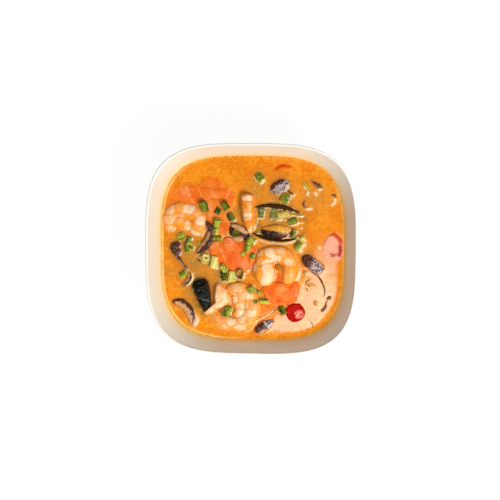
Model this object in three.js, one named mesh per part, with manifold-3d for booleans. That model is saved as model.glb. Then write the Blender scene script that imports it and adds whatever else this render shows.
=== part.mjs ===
// Tom yum soup in a square glazed bowl. X runs to the right, Y to the back and Z up, in
// millimetres, with the origin under the middle of the bowl, on the plane that it stands on.
import * as THREE from 'three';
import { mergeVertices } from 'three/addons/utils/BufferGeometryUtils.js';
import Module from 'manifold-3d';

const wasm = await Module();
wasm.setup();

// The bowl.
const BOWL_HEIGHT = 70;
const RIM_HALF = 104.2; // half the bowl's width, through the middle of a side
const RIM_EDGE = 2.3; // thickness of the rounded lip
const FLOOR_TOP = 9; // height of the inner floor
const FLOOR_HALF = 40; // half width of the flat part of the inner floor
const FOOT_HALF = 60;
const FOOT_WIDTH = 7;
const FOOT_HEIGHT = 5; // from the ring's flat face up to the wall
const FOOT_RECESS = 3.5; // height of the underside inside the foot ring
const RIM_SQUARENESS = 3.55; // exponent of the superellipse that the rim follows
const FOOT_SQUARENESS = 2.9;
const BOWL_SIDES = 48;
const WALL_STEPS = 6;
const ROOM_STEPS = 4; // the same for the space inside, whose flats stay inside the wall's curve
const CORNER_CROWDING = 0.12; // moves the sides' ends towards the corners, where it curves most

// The soup and what floats in it. A piece's lift is its height above the soup's surface.
const SOUP_LEVEL = 52;
const GAP = 0.6; // what is left free between neighbouring pieces
const FINEST = 0.12; // relief below this is left out
const LOOSENESS = 0.25; // how far the space left for a piece may stray from its shape
const END_CROWDING = 0.55; // of the facets along a swept piece: 0 is even
const ONION_SIDES = 7;
const ONION_FLATNESS = 0.82; // height of a slice over its width
const ONION_SLANT = 0.15; // of its cut ends, at most

const COLOURS = {
  porcelain: [0xf1ebe3, 0.25],
  broth: [0xf09125, 0.2],
  shrimp: [0xf6b478, 0.35],
  salmon: [0xf1702b, 0.4],
  mussel_shell: [0x1c1a17, 0.3],
  mussel_meat: [0xb07a3e, 0.4],
  mushroom: [0x4f2a20, 0.35],
  tomato: [0xd01a0c, 0.25],
  chilli: [0xe8501c, 0.3],
  onion_dark: [0x4c6412, 0.4],
  onion_green: [0x6f8e1c, 0.4],
  onion_lime: [0xa9b838, 0.4],
  onion_pale: [0xd9d884, 0.4],
};

const at = (x, y, lift) => new THREE.Vector3(x, y, SOUP_LEVEL + lift);
// A signed power, and exactly zero at a pole.
const power = (value, exponent) => (
  Math.abs(value) < 1e-9 ? 0 : Math.sign(value) * Math.abs(value) ** exponent
);

// ---- Solids from three.js geometries ----

// Shared vertices, and no triangle that has shrunk to a line at a pole or on an axis.
function welded(geometry) {
  const bare = geometry.clone();
  bare.deleteAttribute('normal');
  bare.deleteAttribute('uv');
  const merged = mergeVertices(bare, 1e-3);
  const corners = merged.index.array;
  const kept = [];
  for (let i = 0; i < corners.length; i += 3) {
    const [a, b, c] = [corners[i], corners[i + 1], corners[i + 2]];
    if (a !== b && b !== c && c !== a) kept.push(a, b, c);
  }
  merged.setIndex(kept);
  return merged;
}

function signedVolume(geometry) {
  const [a, b, c] = [new THREE.Vector3(), new THREE.Vector3(), new THREE.Vector3()];
  const position = geometry.attributes.position;
  const corners = geometry.index.array;
  let volume = 0;
  for (let i = 0; i < corners.length; i += 3) {
    a.fromBufferAttribute(position, corners[i]);
    b.fromBufferAttribute(position, corners[i + 1]);
    c.fromBufferAttribute(position, corners[i + 2]);
    volume += a.dot(b.cross(c)) / 6;
  }
  return volume;
}

// A solid with its faces pointing out, grown on all sides by extra.
function solid(geometry, extra = 0) {
  const mesh = welded(geometry);
  if (signedVolume(mesh) < 0) mesh.setIndex(Array.from(mesh.index.array).reverse());
  if (extra) {
    mesh.computeVertexNormals();
    const position = mesh.attributes.position;
    const point = new THREE.Vector3();
    const outward = new THREE.Vector3();
    for (let i = 0; i < position.count; i += 1) {
      outward.fromBufferAttribute(mesh.attributes.normal, i);
      point.fromBufferAttribute(position, i).addScaledVector(outward, extra);
      position.setXYZ(i, point.x, point.y, point.z);
    }
  }
  const vertProperties = new Float32Array(mesh.attributes.position.array);
  const triVerts = new Uint32Array(mesh.index.array);
  return new wasm.Manifold(new wasm.Mesh({ numProp: 3, vertProperties, triVerts }));
}

function joined(geometries, extra = 0) {
  return geometries.map((geometry) => solid(geometry, extra)).reduce((a, b) => a.add(b));
}

// Moves every vertex of a geometry to where move(vertex, u, v) puts it. u goes round, from 0 to
// 1 and back to 0 at the seam, and v from end to end.
function reshape(geometry, move) {
  const { position, uv } = geometry.attributes;
  const vertex = new THREE.Vector3();
  for (let i = 0; i < position.count; i += 1) {
    vertex.fromBufferAttribute(position, i);
    move(vertex, uv.getX(i) % 1, 1 - uv.getY(i));
    position.setXYZ(i, vertex.x, vertex.y, vertex.z);
  }
  return geometry;
}

// ---- The bowl and its inside ----

// The wall in section: the inner curve from the floor up to the lip, and the outer one down to the
// foot. The two points in the middle of each are its handles.
const lipRadius = RIM_EDGE / 2;
const lipHeight = BOWL_HEIGHT - lipRadius;
const innerWall = new THREE.CubicBezierCurve(
  new THREE.Vector2(FLOOR_HALF, FLOOR_TOP),
  new THREE.Vector2(72, FLOOR_TOP),
  new THREE.Vector2(82, 42),
  new THREE.Vector2(RIM_HALF - RIM_EDGE, lipHeight),
);
const outerWall = new THREE.CubicBezierCurve(
  new THREE.Vector2(RIM_HALF, lipHeight),
  new THREE.Vector2(85.5, 38),
  new THREE.Vector2(73, 6),
  new THREE.Vector2(FOOT_HALF, FOOT_HEIGHT),
);

// A turned section whose rounds become superellipses, squarer towards the rim.
function squareTurned(section) {
  const turned = new THREE.LatheGeometry(section, BOWL_SIDES).rotateX(Math.PI / 2);
  return reshape(turned, (vertex) => {
    const share = THREE.MathUtils.clamp(vertex.z / BOWL_HEIGHT, 0, 1);
    const exponent = THREE.MathUtils.lerp(FOOT_SQUARENESS, RIM_SQUARENESS, share);
    const radius = Math.hypot(vertex.x, vertex.y);
    const even = Math.atan2(vertex.y, vertex.x);
    const angle = even + CORNER_CROWDING * Math.sin(even * 4);
    const across = Math.abs(Math.cos(angle)) ** exponent;
    const along = Math.abs(Math.sin(angle)) ** exponent;
    const reach = radius * (across + along) ** (-1 / exponent);
    vertex.x = reach * Math.cos(angle);
    vertex.y = reach * Math.sin(angle);
  });
}

function bowl() {
  const lip = [0.25, 0.5, 0.75].map((turn) => new THREE.Vector2(
    RIM_HALF - lipRadius - Math.cos(turn * Math.PI) * lipRadius,
    lipHeight + Math.sin(turn * Math.PI) * lipRadius,
  ));
  return squareTurned([
    new THREE.Vector2(0, FLOOR_TOP),
    ...innerWall.getPoints(WALL_STEPS),
    ...lip,
    ...outerWall.getPoints(WALL_STEPS),
    new THREE.Vector2(FOOT_HALF, 0),
    new THREE.Vector2(FOOT_HALF - FOOT_WIDTH, 0),
    new THREE.Vector2(FOOT_HALF - FOOT_WIDTH, FOOT_RECESS),
    new THREE.Vector2(0, FOOT_RECESS),
  ]);
}

// The space inside the bowl, a gap clear of its wall and reaching far above the rim.
function inside() {
  const top = BOWL_HEIGHT * 2;
  const wall = innerWall.getPoints(ROOM_STEPS)
    .map(({ x, y }) => new THREE.Vector2(x - GAP, y + GAP));
  return solid(squareTurned([
    new THREE.Vector2(0, FLOOR_TOP + GAP),
    ...wall,
    new THREE.Vector2(RIM_HALF - RIM_EDGE - GAP, top),
    new THREE.Vector2(0, top),
  ]));
}

function brothBody(room) {
  const wide = RIM_HALF * 3;
  const below = new THREE.BoxGeometry(wide, wide, SOUP_LEVEL).translate(0, 0, SOUP_LEVEL / 2);
  return room.intersect(solid(below));
}

// ---- Shapes of the ingredients ----

// A rounded body along a curve. Each row of the spine is [x, y, lift, half width, half height].
// Its facets crowd towards the two ends, which are rounded off over the share blunt of its length.
function swept(spine, { sides = 8, stations = 12, blunt = 0.12, ridges = 0, depth = 0 } = {}) {
  const path = new THREE.CatmullRomCurve3(spine.map(([x, y, lift]) => at(x, y, lift)));
  const girth = new THREE.CatmullRomCurve3(
    spine.map(([, , , width, height]) => new THREE.Vector3(width, height, 0)),
  );
  return reshape(new THREE.SphereGeometry(1, sides, stations), (vertex, u, v) => {
    const t = v - END_CROWDING * Math.sin(v * Math.PI * 2) / (Math.PI * 2);
    const near = Math.min(1, Math.min(t, 1 - t) / blunt);
    const rounding = power(1 - (1 - near) ** 2, 0.5);
    const swell = rounding * (1 + depth * Math.cos(t * ridges * Math.PI * 2));
    const along = path.getTangent(t);
    const side = new THREE.Vector3().crossVectors(along, new THREE.Vector3(0, 0, 1)).normalize();
    const up = new THREE.Vector3().crossVectors(side, along);
    const size = girth.getPoint(t);
    vertex.copy(path.getPoint(t));
    vertex.addScaledVector(side, Math.cos(u * Math.PI * 2) * size.x * swell);
    vertex.addScaledVector(up, Math.sin(u * Math.PI * 2) * size.y * swell);
  });
}

// A cushion over an outline of [x, y] points, with rounded edges and a slightly wavy top.
function pillow(outline, { top, bottom, sides = 14, rings = 5, edge = 0.5, wave = 0 }) {
  const rim = new THREE.CatmullRomCurve3(
    outline.map(([x, y]) => new THREE.Vector3(x, y, 0)),
    true,
  );
  const middle = outline
    .reduce((sum, [x, y]) => sum.add(new THREE.Vector2(x, y)), new THREE.Vector2())
    .divideScalar(outline.length);
  return reshape(new THREE.SphereGeometry(1, sides, rings), (vertex, u, v) => {
    const reach = power(Math.sin(v * Math.PI), edge);
    const height = power(Math.cos(v * Math.PI), edge);
    const edgePoint = rim.getPoint(u);
    const x = middle.x + (edgePoint.x - middle.x) * reach;
    const y = middle.y + (edgePoint.y - middle.y) * reach;
    const ripple = wave * Math.max(0, height) * Math.sin(x / 5 + y / 8);
    const lift = height > 0 ? height * top : height * -bottom;
    vertex.copy(at(x, y, lift + ripple));
  });
}

function oval(x, y, halfLength, halfWidth, degrees) {
  const turn = THREE.MathUtils.degToRad(degrees);
  return Array.from({ length: 10 }, (_, i) => {
    const angle = (i / 10) * Math.PI * 2;
    const along = Math.cos(angle) * halfLength;
    const across = Math.sin(angle) * halfWidth;
    return [
      x + along * Math.cos(turn) - across * Math.sin(turn),
      y + along * Math.sin(turn) + across * Math.cos(turn),
    ];
  });
}

// Turns a piece that lies along Y to its direction and rise, and sets it in the soup.
function laid(geometry, [x, y, lift, , , azimuth, rise]) {
  geometry.rotateX(THREE.MathUtils.degToRad(rise));
  geometry.rotateZ(THREE.MathUtils.degToRad(azimuth - 90));
  return geometry.translate(x, y, SOUP_LEVEL + lift);
}

// A slice of spring onion leaf or stem: a slightly flattened tube with slanted ends.
function onionSlice(row) {
  const [x, y, , length, width, , , [, wall]] = row;
  const half = length / 2;
  const section = [
    new THREE.Vector2(width / 2 - wall, -half),
    new THREE.Vector2(width / 2, -half),
    new THREE.Vector2(width / 2, half),
    new THREE.Vector2(width / 2 - wall, half),
    new THREE.Vector2(width / 2 - wall, -half),
  ];
  const slant = ONION_SLANT * Math.sin(x + y);
  const tube = new THREE.LatheGeometry(section, ONION_SIDES);
  reshape(tube, (vertex) => {
    vertex.y += vertex.x * slant;
    vertex.z *= ONION_FLATNESS;
  });
  return laid(tube, row);
}

// The room that a slice takes up in whatever it lies in.
function onionRoom(row) {
  const [, , , length, width] = row;
  return laid(new THREE.BoxGeometry(
    width + GAP * 2,
    length + width * ONION_SLANT + GAP * 2,
    width * ONION_FLATNESS + GAP * 2,
  ), row);
}

// ---- The mussels ----

const VALVE = { x: 23.5, y: 25.5, halfLength: 31.5, halfWidth: 18.5, depth: 13, turn: -5, wall: 1.5 };
const VALVE_RIM_LIFT = 2.2; // of the long sides, at their middle
const VALVE_AWASH = 25.5; // distance from the middle at which the rim dips under the soup
const VALVE_RIM_STEPS = 8;

// An open half shell lying in the soup with its hollow up, its two ends awash.
function openValve(extra) {
  const { halfLength, halfWidth, depth, wall } = VALVE;
  const hull = (inset) => solid(new THREE.SphereGeometry(1, 20, 8).rotateX(Math.PI / 2).scale(
    halfLength - inset,
    halfWidth - inset,
    depth - inset,
  ));
  const reach = halfLength * 1.2;
  const rimLine = new THREE.Shape([
    new THREE.Vector2(-reach, -depth * 2),
    new THREE.Vector2(reach, -depth * 2),
  ]);
  for (let i = VALVE_RIM_STEPS; i >= 0; i -= 1) {
    const x = THREE.MathUtils.lerp(-reach, reach, i / VALVE_RIM_STEPS);
    rimLine.lineTo(x, VALVE_RIM_LIFT * (1 - (x / VALVE_AWASH) ** 2) + extra);
  }
  const below = new THREE.ExtrudeGeometry(rimLine, { depth: halfWidth * 4, bevelEnabled: false })
    .translate(0, 0, -halfWidth * 2)
    .rotateX(Math.PI / 2);
  return hull(-extra).subtract(hull(wall + extra))
    .intersect(solid(below))
    .rotate([0, 0, VALVE.turn])
    .translate([VALVE.x, VALVE.y, SOUP_LEVEL]);
}

// ---- The ingredients, those that lie on top first ----

const DARK = ['onion_dark', 1.1];
const GREEN = ['onion_green', 1.1];
const LIME = ['onion_lime', 1.3];
const PALE = ['onion_pale', 1.8];

// x, y, lift, length, width, direction of the tube's axis and its rise, both in degrees.
const ONION_SLICES = [
  [7.5, 70, 0.8, 9, 8, -50, 10, GREEN],
  [32.5, 49.5, 0.8, 9, 8, 60, 10, GREEN],
  [-47.5, 41.5, 3, 11, 8.5, 80, 5, DARK],
  [-26.5, 42, 3.4, 8.5, 7, -57, 0, DARK],
  [-33, 36.5, 2, 8, 7, 60, 20, GREEN],
  [-21, 30.5, 2.8, 9, 6.5, -55, 10, DARK],
  [-34.5, 24.5, 3.4, 9, 7, 85, 15, GREEN],
  [-36, 16.5, 3.6, 7, 6, 80, 10, LIME],
  [-34.5, 9.5, 3.6, 11.5, 4.5, 0, 0, LIME],
  [-71, 11.5, 0.2, 7, 7, 30, 20, GREEN],
  [-63, 7.5, 0.8, 7, 5, 70, 0, DARK],
  [-63.5, 0, 0.6, 9, 9, 50, 35, GREEN],
  [-16.5, 15.5, 3.6, 6.5, 6, 60, 50, DARK],
  [-1, 7, 5, 8, 7, 60, 0, GREEN],
  [-4, 0, 5, 7, 6, 70, 0, GREEN],
  [0.5, -7.5, 3.4, 6, 5, 80, 0, GREEN],
  [-47, -10.5, 1.4, 8, 8.5, 40, 40, PALE],
  [-38, -14, 2.8, 12, 7.5, 80, 0, PALE],
  [-28, -19.5, 3.4, 7, 6, -50, 0, LIME],
  [-28, -27, 1.6, 11, 6, -75, 0, DARK],
  [-20, -28, 2.8, 10.5, 7.5, 85, 0, PALE],
  [-12, -25.5, 2.8, 6, 10, 0, 75, DARK],
  [-69, -26.5, 0.4, 8, 6, 30, 0, GREEN],
  [-0.5, -41, 5.4, 7.5, 6.5, 25, 0, LIME],
  [3, -53.5, 3.6, 5, 4.5, 90, 0, DARK],
  [12, -53, 2.6, 9, 5, 0, 0, LIME],
  [-25, -63.5, 3.2, 10.5, 8, 65, 0, GREEN],
  [30, -61.5, 1, 8, 6.5, -60, 0, DARK],
  [40, 27.5, 0.9, 9, 6, 20, 0, DARK],
  [41, 15, 0.9, 8, 5, 80, 0, DARK],
  [9, 35.5, 0.4, 9, 6, 85, 0, GREEN],
  [21.5, 34.5, 0.4, 10.5, 7, 85, 0, GREEN],
  [30, 33.5, 0.4, 9, 6, 15, 0, PALE],
  [46, 3, 1.2, 8.5, 7, 60, 0, GREEN],
  [49.5, 10, 1.2, 5, 4.5, 30, 0, PALE],
];

const SHRIMP_BODY = { sides: 8, stations: 16, ridges: 5, depth: 0.05 };

const shrimpTail = [
  swept([
    [-5, 54.5, 2.5, 6, 4.5],
    [-4.5, 43.5, 3.5, 6.3, 5],
    [-3.5, 32.5, 4, 6, 5],
    [-2, 23.5, 4, 4.6, 4],
    [-1.5, 15, 3.5, 1.8, 2],
  ], { stations: 16, blunt: 0.08, ridges: 3, depth: 0.05 }),
];

const shrimpRight = [
  swept([
    [15.5, -37, 1.5, 8.5, 5],
    [13, -27.5, 1.5, 10.3, 6.5],
    [11.5, -17.5, 0.5, 10.5, 6.5],
    [14.5, -8.5, -0.5, 10, 6.5],
    [24, -4.5, -0.5, 9, 6.5],
    [34, -8.5, -0.5, 8.5, 6.5],
    [38, -18.5, -0.5, 8, 6],
    [36, -29.5, -0.5, 7.5, 5.5],
    [32, -36.5, -1, 5, 4.5],
  ], SHRIMP_BODY),
];

const shrimpFront = [
  swept([
    [-26, -40.5, 0, 6.5, 5],
    [-13, -41.5, 0, 9, 6],
    [-3, -50.5, -0.5, 9, 6],
    [-0.5, -62.5, -0.5, 9, 6],
    [-7.5, -73.5, -0.5, 8.5, 5.5],
    [-20, -75.5, -1, 7.5, 5.5],
    [-32, -73, -1.5, 7.5, 5],
    [-40, -67, -2, 5, 4],
  ], SHRIMP_BODY),
  swept([
    [-21, -37.5, 1, 6.5, 4],
    [-28.5, -47.5, 1.5, 8.5, 4.5],
    [-36, -57, 2, 5, 3.5],
    [-47.5, -65, 2.5, 1.3, 1.2],
  ], { stations: 12 }),
];

const shrimpLeft = [
  swept([
    [-81, 14.5, -1.5, 5.5, 4.5],
    [-82.5, 27.5, -1.5, 7.5, 5.5],
    [-75.5, 37, -1, 8, 6],
    [-65, 37, -1, 8.2, 6],
    [-56, 31.5, -1, 9, 6],
    [-54.5, 22.5, -1, 9, 6],
    [-58, 14, -1.5, 6.5, 5],
  ], SHRIMP_BODY),
];

const musselClosed = [
  pillow(oval(-51.2, -48.2, 20, 9, -70), { top: 5, bottom: -7, sides: 14, rings: 7, edge: 0.85 }),
];

const musselMeat = [
  swept([
    [8.5, 17.5, -0.5, 3, 2.5],
    [16, 14.5, -0.2, 5.2, 3.5],
    [25, 13.5, 0, 5.8, 3.5],
    [33, 14.5, -0.2, 4.8, 3],
    [39.5, 17.5, -0.5, 2, 2],
  ], { stations: 12 }),
];

const MUSHROOMS = {
  mushroom_1: [
    pillow(oval(27, 61.5, 10, 6, 22), { top: 3, bottom: -3.5, edge: 0.7 }),
  ],
  mushroom_2: [
    swept([
      [-45, 26, 4, 1.6, 1.8],
      [-40.5, 18.5, 3, 3, 3],
      [-42, 9.5, 1.5, 4, 3.5],
      [-47.5, 1.5, 0.8, 4, 3.2],
      [-55.5, -5.5, 0, 1.3, 1.5],
    ]),
  ],
  mushroom_3: [
    pillow(
      [[-81, 0.5], [-77, 6], [-72, 5], [-71, -2.5], [-73.5, -10.5], [-79, -6.5]],
      { top: 1.8, bottom: -3.5, edge: 0.7 },
    ),
    swept([
      [-75, -7.5, 0.2, 1.5, 1.5],
      [-71, -13.5, 0.2, 1.4, 1.4],
      [-64.5, -22.5, 0, 1.1, 1.2],
    ], { sides: 6, stations: 8 }),
  ],
  mushroom_4: [
    swept([
      [-62.5, -25, 0, 1.4, 1.5],
      [-63.5, -32, 0.2, 2.4, 2],
      [-70.5, -39, 0, 1.2, 1.3],
    ], { sides: 7, stations: 8 }),
  ],
  mushroom_5: [
    swept([
      [-80.5, -54.5, 0, 1.8, 2],
      [-73, -55, 0.4, 4, 3],
      [-66, -59.5, 0.4, 4.6, 3.2],
      [-62, -67.5, 0.4, 4, 3],
      [-60.5, -78.5, 0, 1.4, 1.6],
    ]),
  ],
  mushroom_6: [
    pillow(
      [[-23, 20.5], [-19, 25], [-12, 23], [-4, 17.5], [-3, 11.5], [-9, 7], [-16, 9.5], [-22, 13.5]],
      { top: 3, bottom: -3, edge: 0.6 },
    ),
  ],
  mushroom_7: [
    pillow(oval(59.5, -15.5, 12.5, 6.5, -33), { top: 2.6, bottom: -4, edge: 0.65 }),
  ],
  mushroom_8: [
    pillow(oval(11.5, -78, 10.5, 5, 32), { top: 2.6, bottom: -3.5, edge: 0.65 }),
  ],
};

// A tomato half with its cut face up, a little tilted.
function tomatoHalf() {
  const [x, y, lift, radius, depth, tilt] = [43.5, -65, 1.6, 9.3, 7.5, 6];
  const skin = new THREE.EllipseCurve(0, 0, radius, depth, 0, -Math.PI / 2, true).getPoints(5);
  return new THREE.LatheGeometry([new THREE.Vector2(0, 0), ...skin], 16)
    .rotateX(Math.PI / 2)
    .rotateY(THREE.MathUtils.degToRad(tilt))
    .translate(x, y, SOUP_LEVEL + lift);
}

const tomatoWedge = [
  pillow(
    [[68, -2.5], [72, 7.5], [79, 15.5], [88, 15], [90, 2.5], [88, -8.5], [81, -14], [72, -12]],
    { top: 1.4, bottom: -7, edge: 0.5 },
  ),
];

const chilliSliver = [
  swept([
    [23.5, 76, 0.2, 0.8, 0.8],
    [30, 80, 0.3, 2.2, 1.2],
    [38, 81.5, 0.2, 0.7, 0.7],
  ], { sides: 6, stations: 8 }),
];

// Salmon pieces: outline, height above the soup, ripple of the flakes on top.
const SALMON = {
  salmon_middle: [
    [[-46, 4.5], [-36, 7.5], [-25, 11.5], [-13, 7.5], [-2, 4.5], [4, -2.5],
      [1, -14.5], [-6, -22.5], [-17, -24.5], [-27, -19.5], [-37, -10.5]],
    { top: 3.2, bottom: -7, wave: 0.4, sides: 18 },
  ],
  salmon_right: [
    [[11, -38.5], [19, -33.5], [32, -34.5], [44, -33.5], [46.5, -42.5], [43, -51.5],
      [33, -56.5], [21, -55.5], [13, -49.5]],
    { top: 3, bottom: -7, wave: 0.4 },
  ],
  salmon_strip: [
    [[-47, 44.5], [-39, 50.5], [-25, 49.5], [-20, 39.5], [-21, 25.5], [-23, 14.5],
      [-31, 9.5], [-40, 13.5], [-45, 25.5]],
    { top: 1.8, bottom: -6, wave: 0.3 },
  ],
  salmon_back: [
    [[-85, 55.5], [-77, 63.5], [-63, 66], [-47, 66.5], [-31, 64.5], [-17, 60.5], [-12, 51.5],
      [-17, 41.5], [-31, 37.5], [-47, 39.5], [-63, 43.5], [-79, 42.5]],
    { top: 1, bottom: -6, wave: 0.3, sides: 20 },
  ],
  salmon_front: [
    [[2, -54.5], [13, -53.5], [23, -58.5], [26, -64.5], [19, -70.5], [9, -75.5], [2, -66.5]],
    { top: 1.2, bottom: -6, wave: 0.2 },
  ],
};

// ---- Fitting the pieces to each other ----

const soup = new THREE.Group();
const room = inside();
const taken = []; // the pieces so far, each with the gap round it

function overlap(a, b) {
  return a.min.every((low, i) => low < b.max[i] && b.min[i] < a.max[i]);
}

function addMesh(name, body, finish) {
  const { vertProperties, triVerts } = body.getMesh();
  const geometry = new THREE.BufferGeometry();
  geometry.setAttribute('position', new THREE.BufferAttribute(vertProperties, 3));
  geometry.setIndex(new THREE.BufferAttribute(triVerts, 1));
  geometry.computeBoundingBox();
  const middle = geometry.boundingBox.getCenter(new THREE.Vector3());
  geometry.translate(-middle.x, -middle.y, -middle.z);
  geometry.computeVertexNormals();
  const [color, roughness] = COLOURS[finish];
  const material = new THREE.MeshStandardMaterial({ color, roughness, metalness: 0 });
  const mesh = new THREE.Mesh(geometry, material);
  mesh.name = name;
  mesh.position.copy(middle);
  soup.add(mesh);
}

// Cuts a body back from the pieces that were placed before it, and keeps its main part.
function cutBack(body) {
  const cut = taken
    .filter((other) => overlap(body.boundingBox(), other.boundingBox()))
    .reduce((rest, other) => rest.subtract(other), body);
  return cut.simplify(FINEST).decompose().sort((a, b) => b.volume() - a.volume())[0];
}

function place(name, finish, body, hold) {
  addMesh(name, cutBack(body.intersect(room)), finish);
  taken.push(hold);
}

function placeJoined(name, finish, shapes) {
  place(name, finish, joined(shapes), joined(shapes, GAP).simplify(LOOSENESS));
}

addMesh('bowl', solid(bowl()), 'porcelain');
placeJoined('shrimp_tail', 'shrimp', shrimpTail);
place('mussel_valve', 'mussel_shell', openValve(0), openValve(GAP));
placeJoined('mussel_closed', 'mussel_shell', musselClosed);
ONION_SLICES.forEach((row, i) => {
  const name = `spring_onion_${String(i + 1).padStart(2, '0')}`;
  const [finish] = row.at(-1);
  const hold = solid(onionRoom(row));
  place(name, finish, solid(onionSlice(row)), hold);
});
placeJoined('chilli_sliver', 'chilli', chilliSliver);
placeJoined('tomato_half', 'tomato', [tomatoHalf()]);
placeJoined('tomato_wedge', 'tomato', tomatoWedge);
placeJoined('mussel_meat', 'mussel_meat', musselMeat);
placeJoined('mushroom_2', 'mushroom', MUSHROOMS.mushroom_2);
placeJoined('shrimp_right', 'shrimp', shrimpRight);
placeJoined('shrimp_front', 'shrimp', shrimpFront);
placeJoined('shrimp_left', 'shrimp', shrimpLeft);
Object.entries(MUSHROOMS)
  .filter(([name]) => name !== 'mushroom_2')
  .forEach(([name, shapes]) => placeJoined(name, 'mushroom', shapes));
Object.entries(SALMON).forEach(([name, [outline, size]]) => {
  placeJoined(name, 'salmon', [pillow(outline, size)]);
});
addMesh('broth', cutBack(brothBody(room)), 'broth');

export default soup;
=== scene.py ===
"""Tom yum soup in a square glazed bowl: the pieces that are seen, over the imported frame.

Shapes are worked out in millimetres, in the frame's own axes: X to the right, Y to the back and
Z up, with the origin under the middle of the bowl. A mesh is made in metres. A lift is a height
above the soup's surface.
"""
import math

import bpy
import numpy as np
from mathutils import Matrix, Vector
from mathutils.bvhtree import BVHTree


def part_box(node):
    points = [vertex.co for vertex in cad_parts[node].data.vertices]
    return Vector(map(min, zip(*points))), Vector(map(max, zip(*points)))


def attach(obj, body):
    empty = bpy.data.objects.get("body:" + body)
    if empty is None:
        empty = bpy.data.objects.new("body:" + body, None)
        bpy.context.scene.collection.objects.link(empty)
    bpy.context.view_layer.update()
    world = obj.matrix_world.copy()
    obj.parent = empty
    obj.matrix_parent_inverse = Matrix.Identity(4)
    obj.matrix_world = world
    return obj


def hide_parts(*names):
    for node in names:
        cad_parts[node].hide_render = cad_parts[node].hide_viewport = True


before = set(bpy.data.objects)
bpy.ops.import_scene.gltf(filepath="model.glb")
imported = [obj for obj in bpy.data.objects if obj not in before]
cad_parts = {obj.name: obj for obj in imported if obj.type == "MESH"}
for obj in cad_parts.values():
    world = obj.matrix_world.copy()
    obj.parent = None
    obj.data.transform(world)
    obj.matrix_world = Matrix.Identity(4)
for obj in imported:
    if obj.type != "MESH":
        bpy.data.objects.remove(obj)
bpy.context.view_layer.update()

MM = 0.001
SOUP_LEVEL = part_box("broth")[1].z / MM
RIM_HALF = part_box("bowl")[1].x / MM
BOWL_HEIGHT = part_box("bowl")[1].z / MM

# The bowl's section, as in the solid that it stands for.
RIM_EDGE = 2.3
FLOOR_TOP = 9
FLOOR_HALF = 40
FOOT_HALF = 60
FOOT_WIDTH = 7
FOOT_HEIGHT = 5
FOOT_RECESS = 3.5
RIM_SQUARENESS = 3.55
FOOT_SQUARENESS = 2.9
CORNER_CROWDING = 0.12


# ---- Curves and noise ----

def through(points, t, closed=False):
    """Where a smooth curve through the given points is at each t, from 0 to 1."""
    points = np.asarray(points, float)
    count = len(points)
    place = np.asarray(t, float) * (count if closed else count - 1)
    first = np.floor(place).astype(int)
    if not closed:
        first = np.clip(first, 0, count - 2)
    share = (place - first)[..., None]

    def knot(step):
        index = first + step
        if closed:
            return points[index % count]
        inner = points[np.clip(index, 0, count - 1)]
        before = (index < 0)[..., None]
        after = (index > count - 1)[..., None]
        inner = np.where(before, 2 * points[0] - points[1], inner)
        return np.where(after, 2 * points[-1] - points[-2], inner)

    a, b, c, d = knot(-1), knot(0), knot(1), knot(2)
    return b + 0.5 * share * (
        c - a + share * (2 * a - 5 * b + 4 * c - d + share * (3 * (b - c) + d - a))
    )


def bumps(points, size, seed=0):
    """Smooth noise from -1 to 1 in space, with bumps of about the given size."""
    scaled = np.asarray(points, float) / size + seed * 19.37
    cell = np.floor(scaled)
    share = scaled - cell
    ease = share * share * (3 - 2 * share)
    total = np.zeros(scaled.shape[:-1])
    for corner in np.ndindex(2, 2, 2):
        weight = np.prod(np.where(corner, ease, 1 - ease), axis=-1)
        mixed = np.sin((cell + corner) @ (127.1, 311.7, 74.7)) * 43758.5453
        total += weight * ((mixed - np.floor(mixed)) * 2 - 1)
    return total


def smooth(value, low, high):
    """0 at low and 1 at high, with an even slope between them. High may be the smaller one."""
    share = np.clip((value - low) / (high - low), 0, 1)
    return share * share * (3 - 2 * share)


def full_turn(count):
    """Even angles all round."""
    return np.arange(count) / count * 2 * np.pi


def turned(x, y, degrees):
    """Coordinates along and across a direction."""
    angle = math.radians(degrees)
    return x * math.cos(angle) + y * math.sin(angle), y * math.cos(angle) - x * math.sin(angle)


def beside(x, y, points, closed=False):
    """How far each place is from a line through [x, y] points."""
    starts = np.array(points, float)
    ends = np.roll(starts, -1, axis=0)
    away = np.full(x.shape, 999.0)
    for start, end in zip(starts if closed else starts[:-1], ends):
        step = end - start
        share = ((x - start[0]) * step[0] + (y - start[1]) * step[1]) / (step @ step)
        share = np.clip(share, 0, 1)
        gap = np.hypot(x - start[0] - share * step[0], y - start[1] - share * step[1])
        away = np.minimum(away, gap)
    return away


def inward(x, y, outline):
    """How far inside a closed outline each place is. Outside it this is less than 0."""
    corners = np.array(outline, float)
    inside = np.zeros(x.shape, bool)
    for (x1, y1), (x2, y2) in zip(corners, np.roll(corners, -1, axis=0)):
        if y1 != y2:
            crossed = x < x1 + (y - y1) * (x2 - x1) / (y2 - y1)
            inside ^= ((y1 > y) != (y2 > y)) & crossed
    return beside(x, y, outline, closed=True) * np.where(inside, 1, -1)


def spots(x, y, places):
    """1 at the middle of each place of [x, y, size] and 0 far from them all."""
    total = np.zeros(x.shape)
    for middle_x, middle_y, size in places:
        total = np.maximum(total, np.exp(-((x - middle_x) ** 2 + (y - middle_y) ** 2) / size ** 2))
    return total


# ---- Closed bodies ----

class Shape:
    """A closed body: its vertices in millimetres, its faces and the values that it carries."""

    def __init__(self, points, faces, values):
        self.points = points
        self.faces = faces
        self.values = values


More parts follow.
